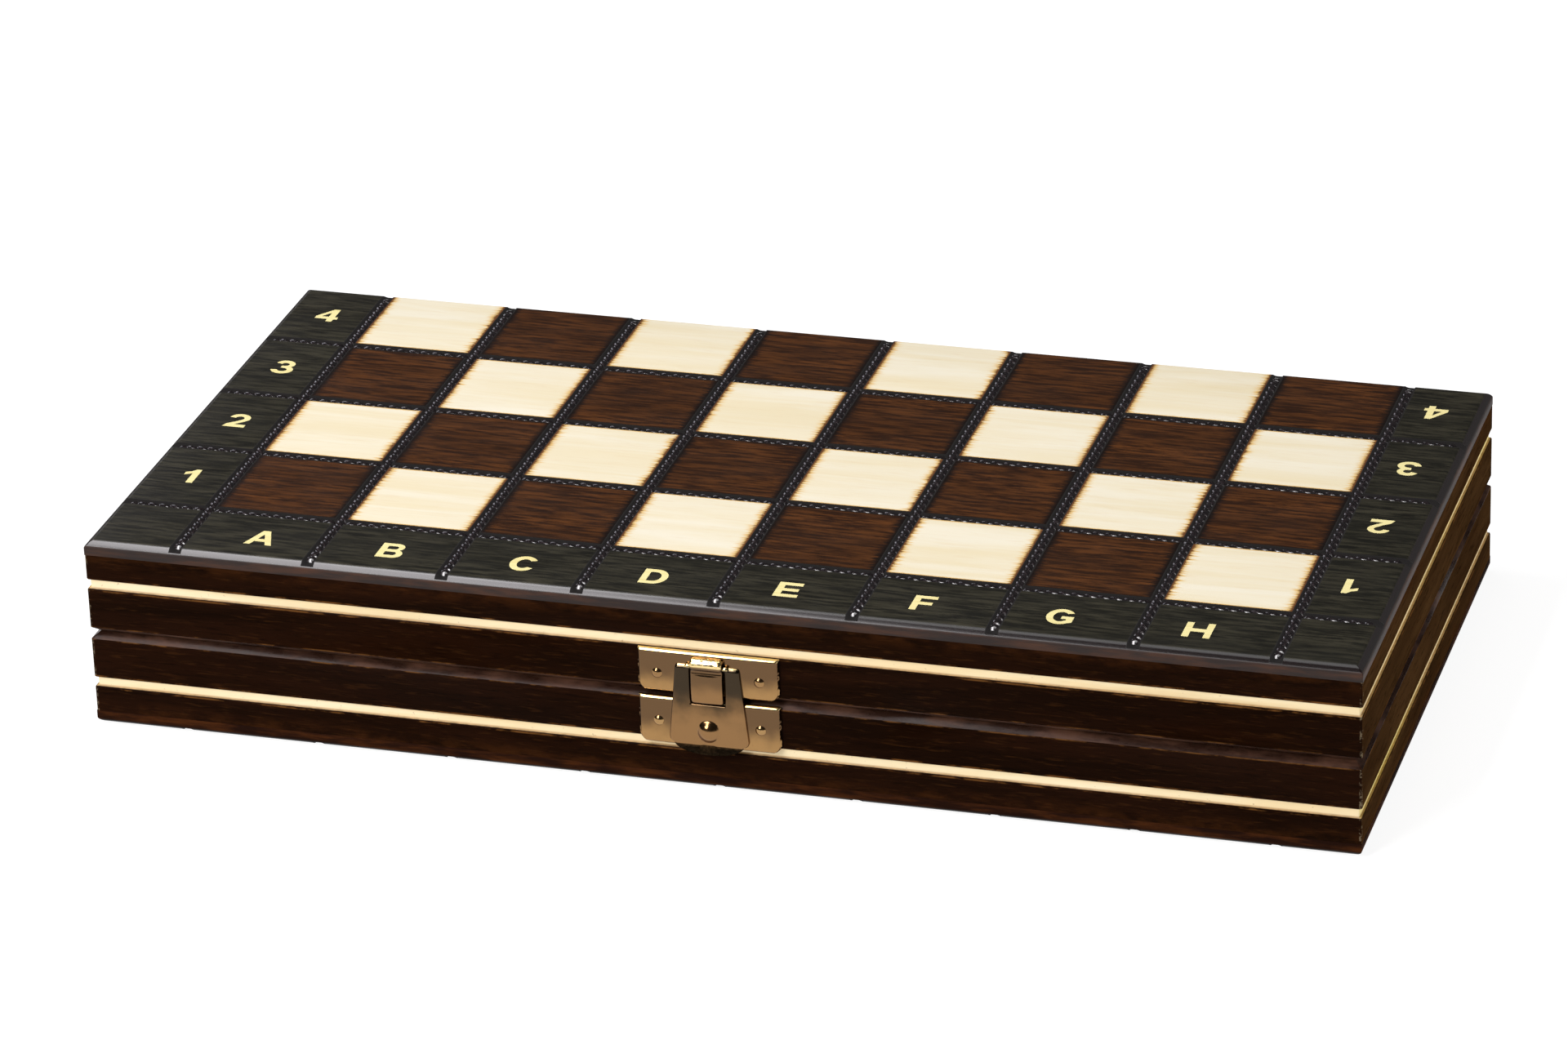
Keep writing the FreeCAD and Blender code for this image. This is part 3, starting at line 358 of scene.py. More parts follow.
def rope_paint():
    """The burnt and lacquered rope pattern pressed into the grooves."""
    paint = Paint("burnt_rope")
    spots = paint.noise(paint.place(), 1500, 3, 0.7)
    color = paint.mix(paint.ramp(spots, 0.4, 0.7), srgb(15, 10, 11), srgb(40, 28, 31))
    return paint.finish(color, paint.ramp(spots, 0.3, 0.7, 0.12, 0.3),
                        paint.bump(spots, 0.3, 0.0001), Specular_IOR_Level=0.9,
                        Coat_Weight=1.0, Coat_Roughness=0.1)


def label_paint():
    """Pale printed coordinates."""
    paint = Paint("printed_coordinates")
    grain = paint.noise(paint.place(), (60, 900, 900), 3)
    color = paint.mix(paint.ramp(grain, 0.4, 0.75), srgb(250, 238, 172), srgb(238, 222, 150))
    return paint.finish(color, 0.45)


def brass_paint(name, foot, head, foot_reflection, head_reflection, highlight_height):
    """Brass-plated steel whose colour is painted reflection: two tones from foot to head, clouded.

    Under the foot it is darker again, a painted dark reflection; from the given height up it is a
    painted highlight.
    """
    paint = Paint(name)
    place = paint.place()
    height = paint.split(place)[2]
    cloud = paint.noise(place, 170, 3, 0.5)
    fine = paint.noise(place, 1500, 4, 0.7)
    # painted reflection: darker from the foot towards the head and again just under the foot, clouded
    # by noise
    share = paint.most(paint.ramp(height, foot, head),
                       paint.ramp(height, foot - 0.8 * MM, foot - 0.2 * MM, 0.7, 0.0))
    share = share + (cloud - 0.5) * 0.8
    color = paint.mix(paint.ramp(share, 0.1, 0.9), foot_reflection, head_reflection)
    # painted highlight: pale gold from the given height up, along the rolled top edge
    color = paint.mix(paint.ramp(height, highlight_height - 0.8 * MM, highlight_height - 0.3 * MM), color,
                      srgb(240, 212, 150))
    color = paint.mix(paint.ramp(fine, 0.58, 0.8) * 0.25, color, srgb(96, 74, 50))
    return paint.finish(color, paint.ramp(fine, 0.3, 0.8, 0.13, 0.24),
                        paint.bump(cloud * 0.8 + fine * 0.1, 0.12, 0.00025), Metallic=1.0)


def felt_paint():
    """Green felt with a short nap."""
    paint = Paint("green_felt")
    place = paint.place()
    nap = paint.noise(place, 1500, 5, 0.8)
    cloud = paint.noise(place, 60, 3, 0.6)
    color = paint.mix(paint.ramp(cloud, 0.3, 0.7), srgb(22, 80, 46), srgb(18, 70, 40))
    color = paint.mix(paint.ramp(nap, 0.45, 0.75) * 0.5, color, srgb(54, 122, 78))
    return paint.finish(color, 0.95, paint.bump(nap, 0.6, 0.0003),
                        Sheen_Weight=0.5, Sheen_Roughness=0.5)


def turned_paint(name, pale, dark, pore, rough):
    """Turned and lacquered wood, its fibres along the man's axis."""
    paint = Paint(name)
    fibre, tone = wood_grain(paint, paint.place(), "y", 0.8)
    color = paint.mix(paint.ramp(tone, 0.3, 0.7), pale, dark)
    color = paint.mix(paint.ramp(fibre, 0.5, 0.78) * 0.6, color, pore)
    return paint.finish(color, rough, paint.bump(fibre, 0.12, 0.0001),
                        Coat_Weight=0.5, Coat_Roughness=0.1)


def comb_paint():
    """Sanded, unstained beech with short pores."""
    paint = Paint("plain_beech")
    place = paint.place()
    fibre, tone = wood_grain(paint, place)
    fleck = paint.noise(place, (160, 1400, 1400), 2)
    color = paint.mix(paint.ramp(tone, 0.3, 0.7), srgb(214, 172, 122), srgb(192, 146, 98))
    color = paint.mix(paint.ramp(fleck, 0.6, 0.75) * 0.6, color, srgb(140, 92, 56))
    return paint.finish(color, 0.6, paint.bump(fibre, 0.2, 0.00012))


# Meshes ------------------------------------------------------------------------------------


def placed(name, mesh):
    """Add an object with this mesh to the scene."""
    piece = bpy.data.objects.new(name, mesh)
    bpy.context.scene.collection.objects.link(piece)
    return piece


def mesh_object(name, points, faces, material):
    """A smooth-shaded object from its points and faces."""
    mesh = bpy.data.meshes.new(name)
    mesh.from_pydata([tuple(map(float, point)) for point in points], [], faces)
    mesh.update()
    mesh.materials.append(material)
    mesh.polygons.foreach_set("use_smooth", [True] * len(mesh.polygons))
    return placed(name, mesh)


def seat(piece, slot, body, *nodes):
    """Let a piece ride on its body, in the place of the nodes it stands for. The slot is not used."""
    if nodes:
        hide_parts(*nodes)
    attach(piece, body)


def settle(piece, leaf):
    """Bring a piece drawn for the upper leaf to its leaf, with its faces outward.

    The lower leaf is the upper one folded under it, so its playing side faces down.
    """
    if leaf == "lower":
        piece.data.transform(Matrix(((1, 0, 0, 0), (0, 1, 0, 0), (0, 0, -1, TOP), (0, 0, 0, 1))))
        piece.data.flip_normals()
    piece.data.update()


def tidy_normals(piece, sharp=None):
    """Turn the faces outward, and split the shading at edges sharper than some degrees."""
    mend = bmesh.new()
    mend.from_mesh(piece.data)
    bmesh.ops.recalc_face_normals(mend, faces=mend.faces)
    mend.to_mesh(piece.data)
    mend.free()
    if sharp:
        piece.data.set_sharp_from_angle(angle=math.radians(sharp))


def grid_faces(columns, rows):
    """Quads between the rows of a grid of points."""
    return [(a, a + 1, a + columns + 1, a + columns)
            for j in range(rows - 1) for a in range(j * columns, (j + 1) * columns - 1)]


def grid_border(columns, rows):
    """The points round the outside of a grid, in order."""
    last, far = columns - 1, rows - 1
    return ([i for i in range(last)] + [j * columns + last for j in range(far)]
            + [far * columns + i for i in range(last, 0, -1)]
            + [j * columns for j in range(far, 0, -1)])


def groove_stops(low, high, lines, flat):
    """Stations across a face and the depth at each: rounded rims, grooves, flat squares."""
    stations = {}
    radius = (SHOULDER_RUN ** 2 + GROOVE_DEEP ** 2) / (2 * GROOVE_DEEP)

    def mark(place, depth):
        key = round(place, 7)
        stations[key] = max(depth, stations.get(key, 0.0))

    for step in range(13):
        angle = step / 12 * math.pi / 2
        inward = RIM_RUN * (1 - math.cos(angle) ** RIM_FULL)
        depth = RIM_FALL * (1 - math.sin(angle) ** RIM_FULL)
        mark(low + inward, depth)
        mark(high - inward, depth)
    for line in lines:
        for side in (-1, 1):
            mark(line + side * flat * 0.5, GROOVE_DEEP)
            for step in range(8):
                run = SHOULDER_RUN * step / 7
                depth = radius - math.sqrt(radius ** 2 - run ** 2)
                mark(line + side * (flat + SHOULDER_RUN - run), depth)
        mark(line, GROOVE_DEEP)
    for before, after in zip(sorted(lines), sorted(lines)[1:]):
        for share in (0.25, 0.5, 0.75):
            mark(before + (after - before) * share, 0.0)
    places = sorted(stations)
    return places, [stations[place] for place in places]


def playing_panel(leaf, material):
    """Half of the board as one closed mesh, grooved and rounded like the panel it replaces."""
    files = [FIRST_FILE + PITCH * i for i in range(FILES + 1)]
    ranks = [FIRST_RANK + PITCH * i for i in range(RANKS)]
    xs, x_drop = groove_stops(LEFT, RIGHT, files, FILE_FLAT)
    ys, y_drop = groove_stops(FRONT, REAR, ranks, RANK_FLAT)
    points, board = [], []

    def add(x, y, drop):
        points.append((x, y, TOP - PRINT_DEEP - drop))
        board.append(((x - FIRST_FILE) / PITCH, (y - FIRST_RANK) / PITCH, -drop))
        return len(points) - 1

    for y, drop in zip(ys, y_drop):
        for x, other in zip(xs, x_drop):
            add(x, y, max(drop, other))
    faces = grid_faces(len(xs), len(ys))
    rim = grid_border(len(xs), len(ys))
    foot = [add(points[index][0], points[index][1], PANEL_THICK) for index in rim]
    for k, index in enumerate(rim):
        after = (k + 1) % len(rim)
        faces.append((index, foot[k], foot[after], rim[after]))
    faces.append(tuple(reversed(foot)))
    piece = mesh_object(f"{leaf}_board", points, faces, material)
    parity = 0.0 if leaf == "upper" else 1.0
    for name, rows in (("board", board), ("parity", [(parity, 0, 0)] * len(board))):
        stored = piece.data.attributes.new(name, "FLOAT_VECTOR", "POINT")
        stored.data.foreach_set("vector", np.array(rows, np.float32).ravel())
    settle(piece, leaf)
    seat(piece, "board_panel", f"{leaf}_leaf", f"{leaf}_playing_panel")


# Rope pattern: one lay is the length of a lobe --------------------------------------------

ROPE_LAY = 3.3 * MM
ROPE_SINK = 0.02 * MM
ROPE_PHASES = (0.0, 0.10, 0.27, 0.5, 0.73, 0.90)
FILE_ROPE_HALF, RANK_ROPE_HALF = 1.72 * MM, 1.58 * MM
ROPE_STOP = 1.35 * MM


def rope(start, end, across, half_wide, high, end_drop):
    """Points and faces of one straight run of the rope pattern, lying in its groove.

    end_drop gives, for each end, how far the run sinks there over the rounded rim.
    """
    start, end, across = Vector(start), Vector(end), Vector(across)
    along = (end - start).normalized()
    long = (end - start).length
    turns = max(1, round(long / ROPE_LAY))
    rows = [(turn + phase) / turns * long for turn in range(turns) for phase in ROPE_PHASES]
    rows.append(long)
    floor = GROOVE_DEEP * 1.02
    shape = [math.cos(math.pi * k / 10) for k in range(11)]
    points = []
    for row in rows:
        edge = min(row, long - row)
        taper = min(1.0, edge / (2.4 * ROPE_LAY))
        near_rim = min(row if end_drop[0] else long, long - row if end_drop[1] else long)
        for share in shape:
            at = row - 0.5 * ROPE_LAY * share * taper
            lay = (row / long * turns) % 1.0
            lobe = 0.34 + 0.66 * math.sin(math.pi * lay) ** 0.7
            lobe = max(lobe, 1 - near_rim / (1.2 * MM))
            crown = max(0.0, 1 - share ** 2) ** 0.6
            fade = 1.0 if edge == near_rim else min(1.0, 0.35 + 0.65 * edge / (0.8 * MM))
            swell = 0.90 + 0.10 * lobe
            drop = 0.0
            for reach, side in ((at, 0), (long - at, 1)):
                if end_drop[side] and reach < RIM_RUN:
                    gap = 1 - max(reach, 0.0) / RIM_RUN
                    drop = RIM_FALL * (1 - (1 - gap ** (2 / RIM_FULL)) ** (RIM_FULL / 2))
            rise = high * crown * lobe * fade - floor
            point = start + along * at + across * (share * half_wide * swell)
            points.append((point.x, point.y, TOP + max(rise, -floor) - drop))
    count = len(shape)
    last = (len(rows) - 1) * count
    faces = grid_faces(count, len(rows))
    # the flat underside, from edge to edge, and both ends
    faces += [(a, a + count, a + 2 * count - 1, a + count - 1) for a in range(0, last, count)]
    faces += [tuple(range(count - 1, -1, -1)), tuple(range(last, last + count))]
    return points, faces


def ropes(leaf, material):
    """Every rope run of one leaf as a single mesh: files run through, ranks stop at them."""
    points, faces = [], []

    def lay(*run):
        more, joined = rope(*run)
        base = len(points)
        points.extend(more)
        faces.extend(tuple(base + index for index in face) for face in joined)

    high = GROOVE_DEEP - ROPE_SINK
    edge = 0.85 * RIM_RUN
    files = [FIRST_FILE + PITCH * i for i in range(FILES + 1)]
    for x in files:
        lay((x, FRONT + edge, 0), (x, REAR - edge, 0), (1, 0, 0), FILE_ROPE_HALF, high, (1, 1))
    ends = [LEFT + edge] + files + [RIGHT - edge]
    last = len(ends) - 2
    for j in range(RANKS):
        y = FIRST_RANK + PITCH * j
        for k in range(last + 1):
            low = ends[k] + (ROPE_STOP if k else 0)
            far = ends[k + 1] - (ROPE_STOP if k < last else 0)
            lay((low, y, 0), (far, y, 0), (0, 1, 0), RANK_ROPE_HALF, high, (k == 0, k == last))
    piece = mesh_object(f"{leaf}_ropes", points, faces, material)
    tidy_normals(piece)
    settle(piece, leaf)
    seat(piece, "board_panel", f"{leaf}_leaf")


# Printed coordinates, placed in squares from the first file and rank -----------------------

CAP_HIGH = 0.226 * PITCH
GLYPH_WIDE = 0.80
LETTER_START, LETTER_STEP, LETTER_LINE = 0.55, 0.977, -0.383
NUMBER_LEFT, NUMBER_RIGHT, NUMBER_LIFT = -0.333, 0.27, 0.02


def bow(x, y, wide, high, start, end, count=18):
    """Points on an ellipse about (x, y), from one angle to another in degrees."""
    spots = []
    for k in range(count + 1):
        angle = math.radians(start + (end - start) * k / count)
        spots.append((x + wide * math.cos(angle), y + high * math.sin(angle)))
    return spots


def glyph_loops():
    """Outlines of the coordinates: bold, wide, one unit high. The first loop is the outside."""
    return {
        "A": [[(0, 0), (.26, 0), (.36, .23), (.80, .23), (.90, 0), (1.16, 0), (.73, 1), (.43, 1)],
              [(.44, .41), (.72, .41), (.58, .75)]],
        "B": [[(0, 0)] + bow(.66, .285, .36, .285, -90, 62) + bow(.62, .75, .33, .25, -48, 90)
              + [(0, 1)],
              [(.27, .18)] + bow(.64, .30, .12, .12, -90, 90) + [(.27, .42)],
              [(.27, .60)] + bow(.60, .71, .11, .11, -90, 90) + [(.27, .82)]],
        "C": [bow(.55, .5, .55, .52, 32, 328, 36) + bow(.57, .5, .28, .32, 318, 42, 30)],
        "D": [[(0, 0)] + bow(.52, .5, .53, .5, -90, 90, 30) + [(0, 1)],
              [(.27, .19)] + bow(.50, .5, .28, .31, -90, 90, 24) + [(.27, .81)]],
        "E": [[(0, 0), (.98, 0), (.98, .19), (.27, .19), (.27, .41), (.90, .41), (.90, .59),
               (.27, .59), (.27, .81), (.96, .81), (.96, 1), (0, 1)]],
        "F": [[(0, 0), (.27, 0), (.27, .39), (.80, .39), (.80, .58), (.27, .58), (.27, .81),
               (.90, .81), (.90, 1), (0, 1)]],
        "G": [bow(.56, .5, .56, .52, 34, 304, 36) + [(1.08, .16), (1.08, .54), (.60, .54),
              (.60, .36), (.82, .36), (.82, .27)] + bow(.57, .5, .30, .33, 318, 44, 30)],
        "H": [[(0, 0), (.27, 0), (.27, .39), (.83, .39), (.83, 0), (1.10, 0), (1.10, 1),
               (.83, 1), (.83, .60), (.27, .60), (.27, 1), (0, 1)]],
        "1": [[(.32, 0), (.60, 0), (.60, 1), (.38, 1), (.22, .84), (0, .76), (0, .57),
               (.32, .70)]],
        "2": [[(0, 0), (.94, 0), (.94, .20), (.42, .20), (.66, .36)]
              + bow(.49, .69, .45, .31, -32, 172) + bow(.49, .68, .19, .14, 172, -30)
              + [(.40, .40), (.10, .22)]],
        "3": [bow(.48, .29, .48, .31, 188, 412, 24) + bow(.46, .735, .42, .285, -42, 168)
              + bow(.47, .71, .17, .12, 168, -90) + [(.36, .59), (.36, .44)]
              + bow(.48, .295, .21, .13, 90, -172)],
        "4": [[(.56, 0), (.83, 0), (.83, .20), (.98, .20), (.98, .38), (.83, .38), (.83, 1),
               (.58, 1), (0, .38), (0, .20), (.56, .20)],
              [(.24, .38), (.56, .38), (.56, .72)]],
        "5": [bow(.47, .325, .47, .335, 192, 474, 26) + [(.31, .62), (.35, .81), (.88, .81),
              (.88, 1), (.16, 1), (.05, .47), (.26, .44)] + bow(.47, .32, .22, .155, 128, -166)],
        "6": [bow(.48, .33, .48, .34, 180, 470, 28) + bow(.50, .66, .22, .20, 168, 24)
              + bow(.50, .62, .45, .39, 20, 180),
              bow(.48, .32, .21, .155, 0, 345, 24)],
        "7": [[(.20, 0), (.48, 0), (.57, .36), (.94, .83), (.94, 1), (0, 1), (0, .80), (.64, .80),
               (.32, .42)]],
        "8": [bow(.48, .29, .48, .30, 138, 402, 28) + bow(.48, .745, .42, .275, -38, 218),
              bow(.48, .295, .21, .13, 0, 345, 24), bow(.48, .735, .17, .105, 0, 345, 24)],
    }


def glyph(text):
    """One character as a thin flat mesh, centred, CAP_HIGH tall, facing up."""
    curve = bpy.data.curves.new("glyph", "CURVE")
    curve.dimensions, curve.fill_mode = "2D", "BOTH"
    for loop in glyph_loops()[text]:
        spline = curve.splines.new("POLY")
        spline.points.add(len(loop) - 1)
        for point, (x, y) in zip(spline.points, loop):
            point.co = (x * GLYPH_WIDE * CAP_HIGH, y * CAP_HIGH, 0, 1)
        spline.use_cyclic_u = True
    holder = placed("glyph", curve)
    bpy.context.view_layer.update()
    flat = bpy.data.meshes.new_from_object(
        holder.evaluated_get(bpy.context.evaluated_depsgraph_get()))
    bpy.data.objects.remove(holder)
    bpy.data.curves.remove(curve)
    spots = np.array([vertex.co for vertex in flat.vertices])
    flat.transform(Matrix.Translation(-Vector((spots.min(0) + spots.max(0)) / 2)))
    return flat


def coordinates(leaf, material):
    """The printed letters and numbers of one leaf.

    The lower leaf is read from underneath, and its first rank is the farthest.
    """
    lower = leaf == "lower"
    spots = [(letter, LETTER_START + LETTER_STEP * i, LETTER_LINE, 180 if lower else 0)
             for i, letter in enumerate("ABCDEFGH")]
    for j in range(RANKS):
        number, middle = str(8 - j if lower else 1 + j), j + 0.5
        spots.append((number, NUMBER_LEFT, middle, 0))
        spots.append((number, FILES + NUMBER_RIGHT, middle + NUMBER_LIFT, 180))
    whole = bmesh.new()
    for text, u, v, turn in spots:
        flat = glyph(text)
        flat.transform(Matrix.Diagonal((1, -1 if lower else 1, 1, 1))
                       @ Matrix.Rotation(math.radians(turn), 4, "Z"))
        flat.transform(Matrix.Translation((FIRST_FILE + u * PITCH, FIRST_RANK + v * PITCH,
                                           TOP - PRINT_THICK)))
        if lower:
            flat.flip_normals()
        whole.from_mesh(flat)
        bpy.data.meshes.remove(flat)
    grown = bmesh.ops.extrude_face_region(whole, geom=whole.faces[:])
    raised = [item for item in grown["geom"] if isinstance(item, bmesh.types.BMVert)]
    bmesh.ops.translate(whole, verts=raised, vec=(0, 0, PRINT_THICK))
    bmesh.ops.recalc_face_normals(whole, faces=whole.faces)
    mesh = bpy.data.meshes.new(f"{leaf}_coordinates")
    whole.to_mesh(mesh)
    whole.free()
    mesh.materials.append(material)
    piece = placed(mesh.name, mesh)
    settle(piece, leaf)
    seat(piece, "board_panel", f"{leaf}_leaf")


# Linings and rails -------------------------------------------------------------------------


def felt_sheet(leaf, material):
    """The felt lining: a cut sheet laid in the tray, its face slightly uneven."""
    node = f"{leaf}_felt_lining"
    low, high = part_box(node)
    size = high - low
    columns, rows = 61, 31
    points = []
    for side in (0, 1):
        for j in range(rows):
            for i in range(columns):
                u, v = i / (columns - 1), j / (rows - 1)
                wave = 0.5 + 0.25 * math.sin(9 * u + 3 * v) + 0.25 * math.sin(7 * v - 5 * u)
                level = size.z * (0.80 + 0.18 * wave) if side else 0.0
                z = low.z + level if leaf == "lower" else high.z - level
                points.append((low.x + size.x * u, low.y + size.y * v, z))
    sheet = columns * rows
    under = grid_faces(columns, rows)
    rim = grid_border(columns, rows)
    faces = under + [tuple(sheet + index for index in face) for face in under]
    faces += [(a, b, b + sheet, a + sheet) for a, b in zip(rim, rim[1:] + rim[:1])]
    piece = mesh_object(f"{leaf}_felt", points, faces, material)
    tidy_normals(piece)
    seat(piece, "felt", f"{leaf}_leaf", node)


def filleted(corners, count=5):
    """A closed outline with each corner (x, y, radius) rounded by an arc."""
    outline = []
    for k, (x, y, radius) in enumerate(corners):
        here = Vector((x, y))
        if not radius:
            outline.append((x, y))
            continue
        before = (Vector(corners[k - 1][:2]) - here).normalized()
        after = (Vector(corners[(k + 1) % len(corners)][:2]) - here).normalized()
        half = before.angle(after) / 2
        centre = here + (before + after).normalized() * (radius / math.sin(half))
        start, end = (here + way * (radius / math.tan(half)) - centre for way in (before, after))
        for step in range(count + 1):
            way = start.lerp(end, step / count).normalized() * radius
            outline.append(tuple(centre + way))
    return outline


CORNER_ROUND = 0.6 * MM
CORNER_STOPS = (0.293, 0.42, 0.6, 0.8, 1.0)
CORNER_REACH = 2.5 * MM


def rail_outline():
    """Section of a rail as (inward from the wall, below the playing face)."""
    low, high = STRIPE_LINE - STRIPE_HALF, STRIPE_LINE + STRIPE_HALF
    return filleted([
        (0, PANEL_THICK, 0), (0, low, LIP), (STRIPE_DEEP, low, 0.15 * MM),
        (STRIPE_DEEP, high, 0.15 * MM), (0, high, LIP), (0, RIM_LINE, 0.35 * MM),
        (RIM_DEEP, MEETING, 0.4 * MM), (RAIL_THICK, MEETING, 0.3 * MM),
        (RAIL_THICK, PANEL_THICK, 0)])


def rail(leaf, side, coats):
    """One mitred rail, its outside corners eased by hand."""
    outline = rail_outline()
    middle = Vector(((LEFT + RIGHT) / 2, (FRONT + REAR) / 2))
    half = (RIGHT - LEFT) / 2 if side == "front" else (REAR - FRONT) / 2
    gaps = [CORNER_ROUND * share for share in CORNER_STOPS]
    runs = 24 if side == "front" else 12
    points, faces, rim_faces = [], [], []
    # each station is an end and its gap from there, or 0 and a share of the run between
    stations = [(-1, gap) for gap in gaps]
    stations += [(0, k / runs) for k in range(1, runs)]
    stations += [(1, gap) for gap in reversed(gaps)]
    for end, gap in stations:
        for inward, below in outline:
            near = max(0.0, 1 - inward / CORNER_REACH)
            if end:
                eased = CORNER_ROUND - math.sqrt(
                    CORNER_ROUND ** 2 - max(0.0, CORNER_ROUND - gap) ** 2)
                back = inward + gap * near + (gap - gaps[0]) * (1 - near)
                along = end * (half - back)
                depth = inward + eased * near
            else:
                along = (2 * gap - 1) * (half - RAIL_THICK - 1 * MM)
                depth = inward + near * 0.03 * MM * (1 + math.sin(9 * gap + 40 * below / MM))
            x, y = {"front": (middle.x + along, FRONT + depth),
                    "left": (LEFT + depth, middle.y - along),
                    "right": (RIGHT - depth, middle.y + along)}[side]
            points.append((x, y, TOP - below))
    count = len(outline)
    for r in range(len(stations) - 1):
        for k in range(count):
            after = (k + 1) % count
            on_rim = RIM_LINE < min(outline[k][1], outline[after][1])
            if on_rim and outline[after][0] < 3 * MM:
                rim_faces.append(len(faces))
            faces.append((r * count + k, r * count + after,
                          (r + 1) * count + after, (r + 1) * count + k))
    faces += [tuple(range(count)), tuple(range(len(points) - count, len(points)))]
    piece = mesh_object(f"{leaf}_{side}_wall", points, faces, coats[0])
    piece.data.materials.append(coats[1])
    for index in rim_faces:
        piece.data.polygons[index].material_index = 1
    settle(piece, leaf)
    tidy_normals(piece, 40)
    seat(piece, "stained_rail", f"{leaf}_leaf", f"{leaf}_{side}_rail")


# Latch: out is the distance from the front wall, z the height in the frame ------------------

PAN_OUT = 1.3 * MM
HASP_OUT = 2.35 * MM
PIVOT_OUT, PIVOT_HIGH = 2.05 * MM, MEETING + 9.4 * MM
NAIL_LINE = 13.8 * MM
WINDOW_HALF, WINDOW_LOW, WINDOW_HIGH = 4.7 * MM, MEETING - 1.3 * MM, MEETING + 8.8 * MM
HASP_FOOT, LIP_END = MEETING - 12.9 * MM, MEETING - 15.5 * MM
DOME_HIGH = MEETING - 9.1 * MM


def stamped(name, path, across, lift, thick, material, hole=None):
    """A sheet-metal piece: rows of points along a path, pushed in or out along its normal.

    path lists (out, z) of the front face, across(k) the x of row k, lift(x, k) the push and
    hole(x, z) tells whether a cell is cut out.
    """
    rows = []
    for k, (out, z) in enumerate(path):
        before, after = Vector(path[max(k - 1, 0)]), Vector(path[min(k + 1, len(path) - 1)])
        run = (after - before).normalized()
        rows.append((out, z, Vector((run.y, -run.x))))
    points, faces, uses = [], [], {}
    columns = len(across(0))
    for side in (0, 1):
        for k, (out, z, normal) in enumerate(rows):
            for x in across(k):
                push = lift(x, k) - side * thick
                points.append((x, FRONT - max(out + normal.x * push, 0.02 * MM),
                               z + normal.y * push))
    sheet = len(rows) * columns
    for face in grid_faces(columns, len(rows)):
        k, i = divmod(face[0], columns)
        middle = (across(k)[i] + across(k)[i + 1]) / 2, (rows[k][1] + rows[k + 1][1]) / 2
        if not (hole and hole(*middle)):
            faces.append(face)
    for face in faces:
        for start, end in zip(face, face[1:] + face[:1]):
            key = (min(start, end), max(start, end))
            uses[key] = uses.get(key, 0) + 1
    rim = [(a, b, b + sheet, a + sheet) for (a, b), count in uses.items() if count == 1]
    faces += [tuple(sheet + index for index in reversed(face)) for face in faces] + rim
    piece = mesh_object(name, points, faces, material)
    loose = bmesh.new()
    loose.from_mesh(piece.data)
    bmesh.ops.delete(loose, geom=[v for v in loose.verts if not v.link_faces], context="VERTS")
    loose.to_mesh(piece.data)
    loose.free()
    tidy_normals(piece, 50)
    return piece


def roll(distance, radius, most=1.0):
    """How far a rolled edge has dropped at a distance from it."""
    if distance >= radius:
        return 0.0
    gap = radius - max(distance, 0.0)
    return (radius - math.sqrt(radius ** 2 - gap ** 2)) * most


def spaced(low, high, count, fine=4, edge=1.2 * MM):
    """Heights or breadths from low to high, closer together near both ends."""
    ends = [edge * (1 - math.cos(math.pi / 2 * k / fine)) for k in range(fine)]
    inner = [low + edge + (high - low - 2 * edge) * k / count for k in range(count + 1)]
    return [low + step for step in ends] + inner + [high - step for step in reversed(ends)]


def latch_pan(name, node, half, low, high, nail_high, body, material):
    """A shallow stamped plate: rolled top, sheared sides, a dimple round each nail."""
    corner = 2.4 * MM
    heights = spaced(low, high, 22)
    chance = random.Random(len(name))
    ragged = [chance.uniform(-0.16, 0.16) * MM for _ in heights]

    def reach(k):
        up = heights[k] - low
        return half - (roll(up, corner) if up < corner else 0.0)

    def across(k):
        wide = reach(k)
        spots = [x / half * wide for x in spaced(-half, half, 44, 5, 1.0 * MM)]
        for side, near in ((0, 1), (-1, -2)):
            sign = -1 if side == 0 else 1
            spots[side] += sign * (ragged[k] + 0.1 * MM)
            spots[near] += sign * ragged[k] * 0.5
        return spots

    def lift(x, k):
        z = heights[k]
        drop = max(roll(reach(k) - abs(x), 0.75 * MM), roll(high - z, 0.85 * MM),
                   roll(z - low, 0.8 * MM))
        bulge = 0.14 * MM * max(0.0, 1 - (x / half) ** 4)
        away = math.hypot(abs(x) - NAIL_LINE, z - nail_high)
        dimple = 0.3 * MM * (0.5 + 0.5 * math.cos(math.pi * away / (2.9 * MM))) \
            if away < 2.9 * MM else 0.0
        return bulge - drop - dimple

    path = [(PAN_OUT, z) for z in heights]
    piece = stamped(name, path, across, lift, 0.5 * MM, material)
    seat(piece, "brassed_steel", body, node)


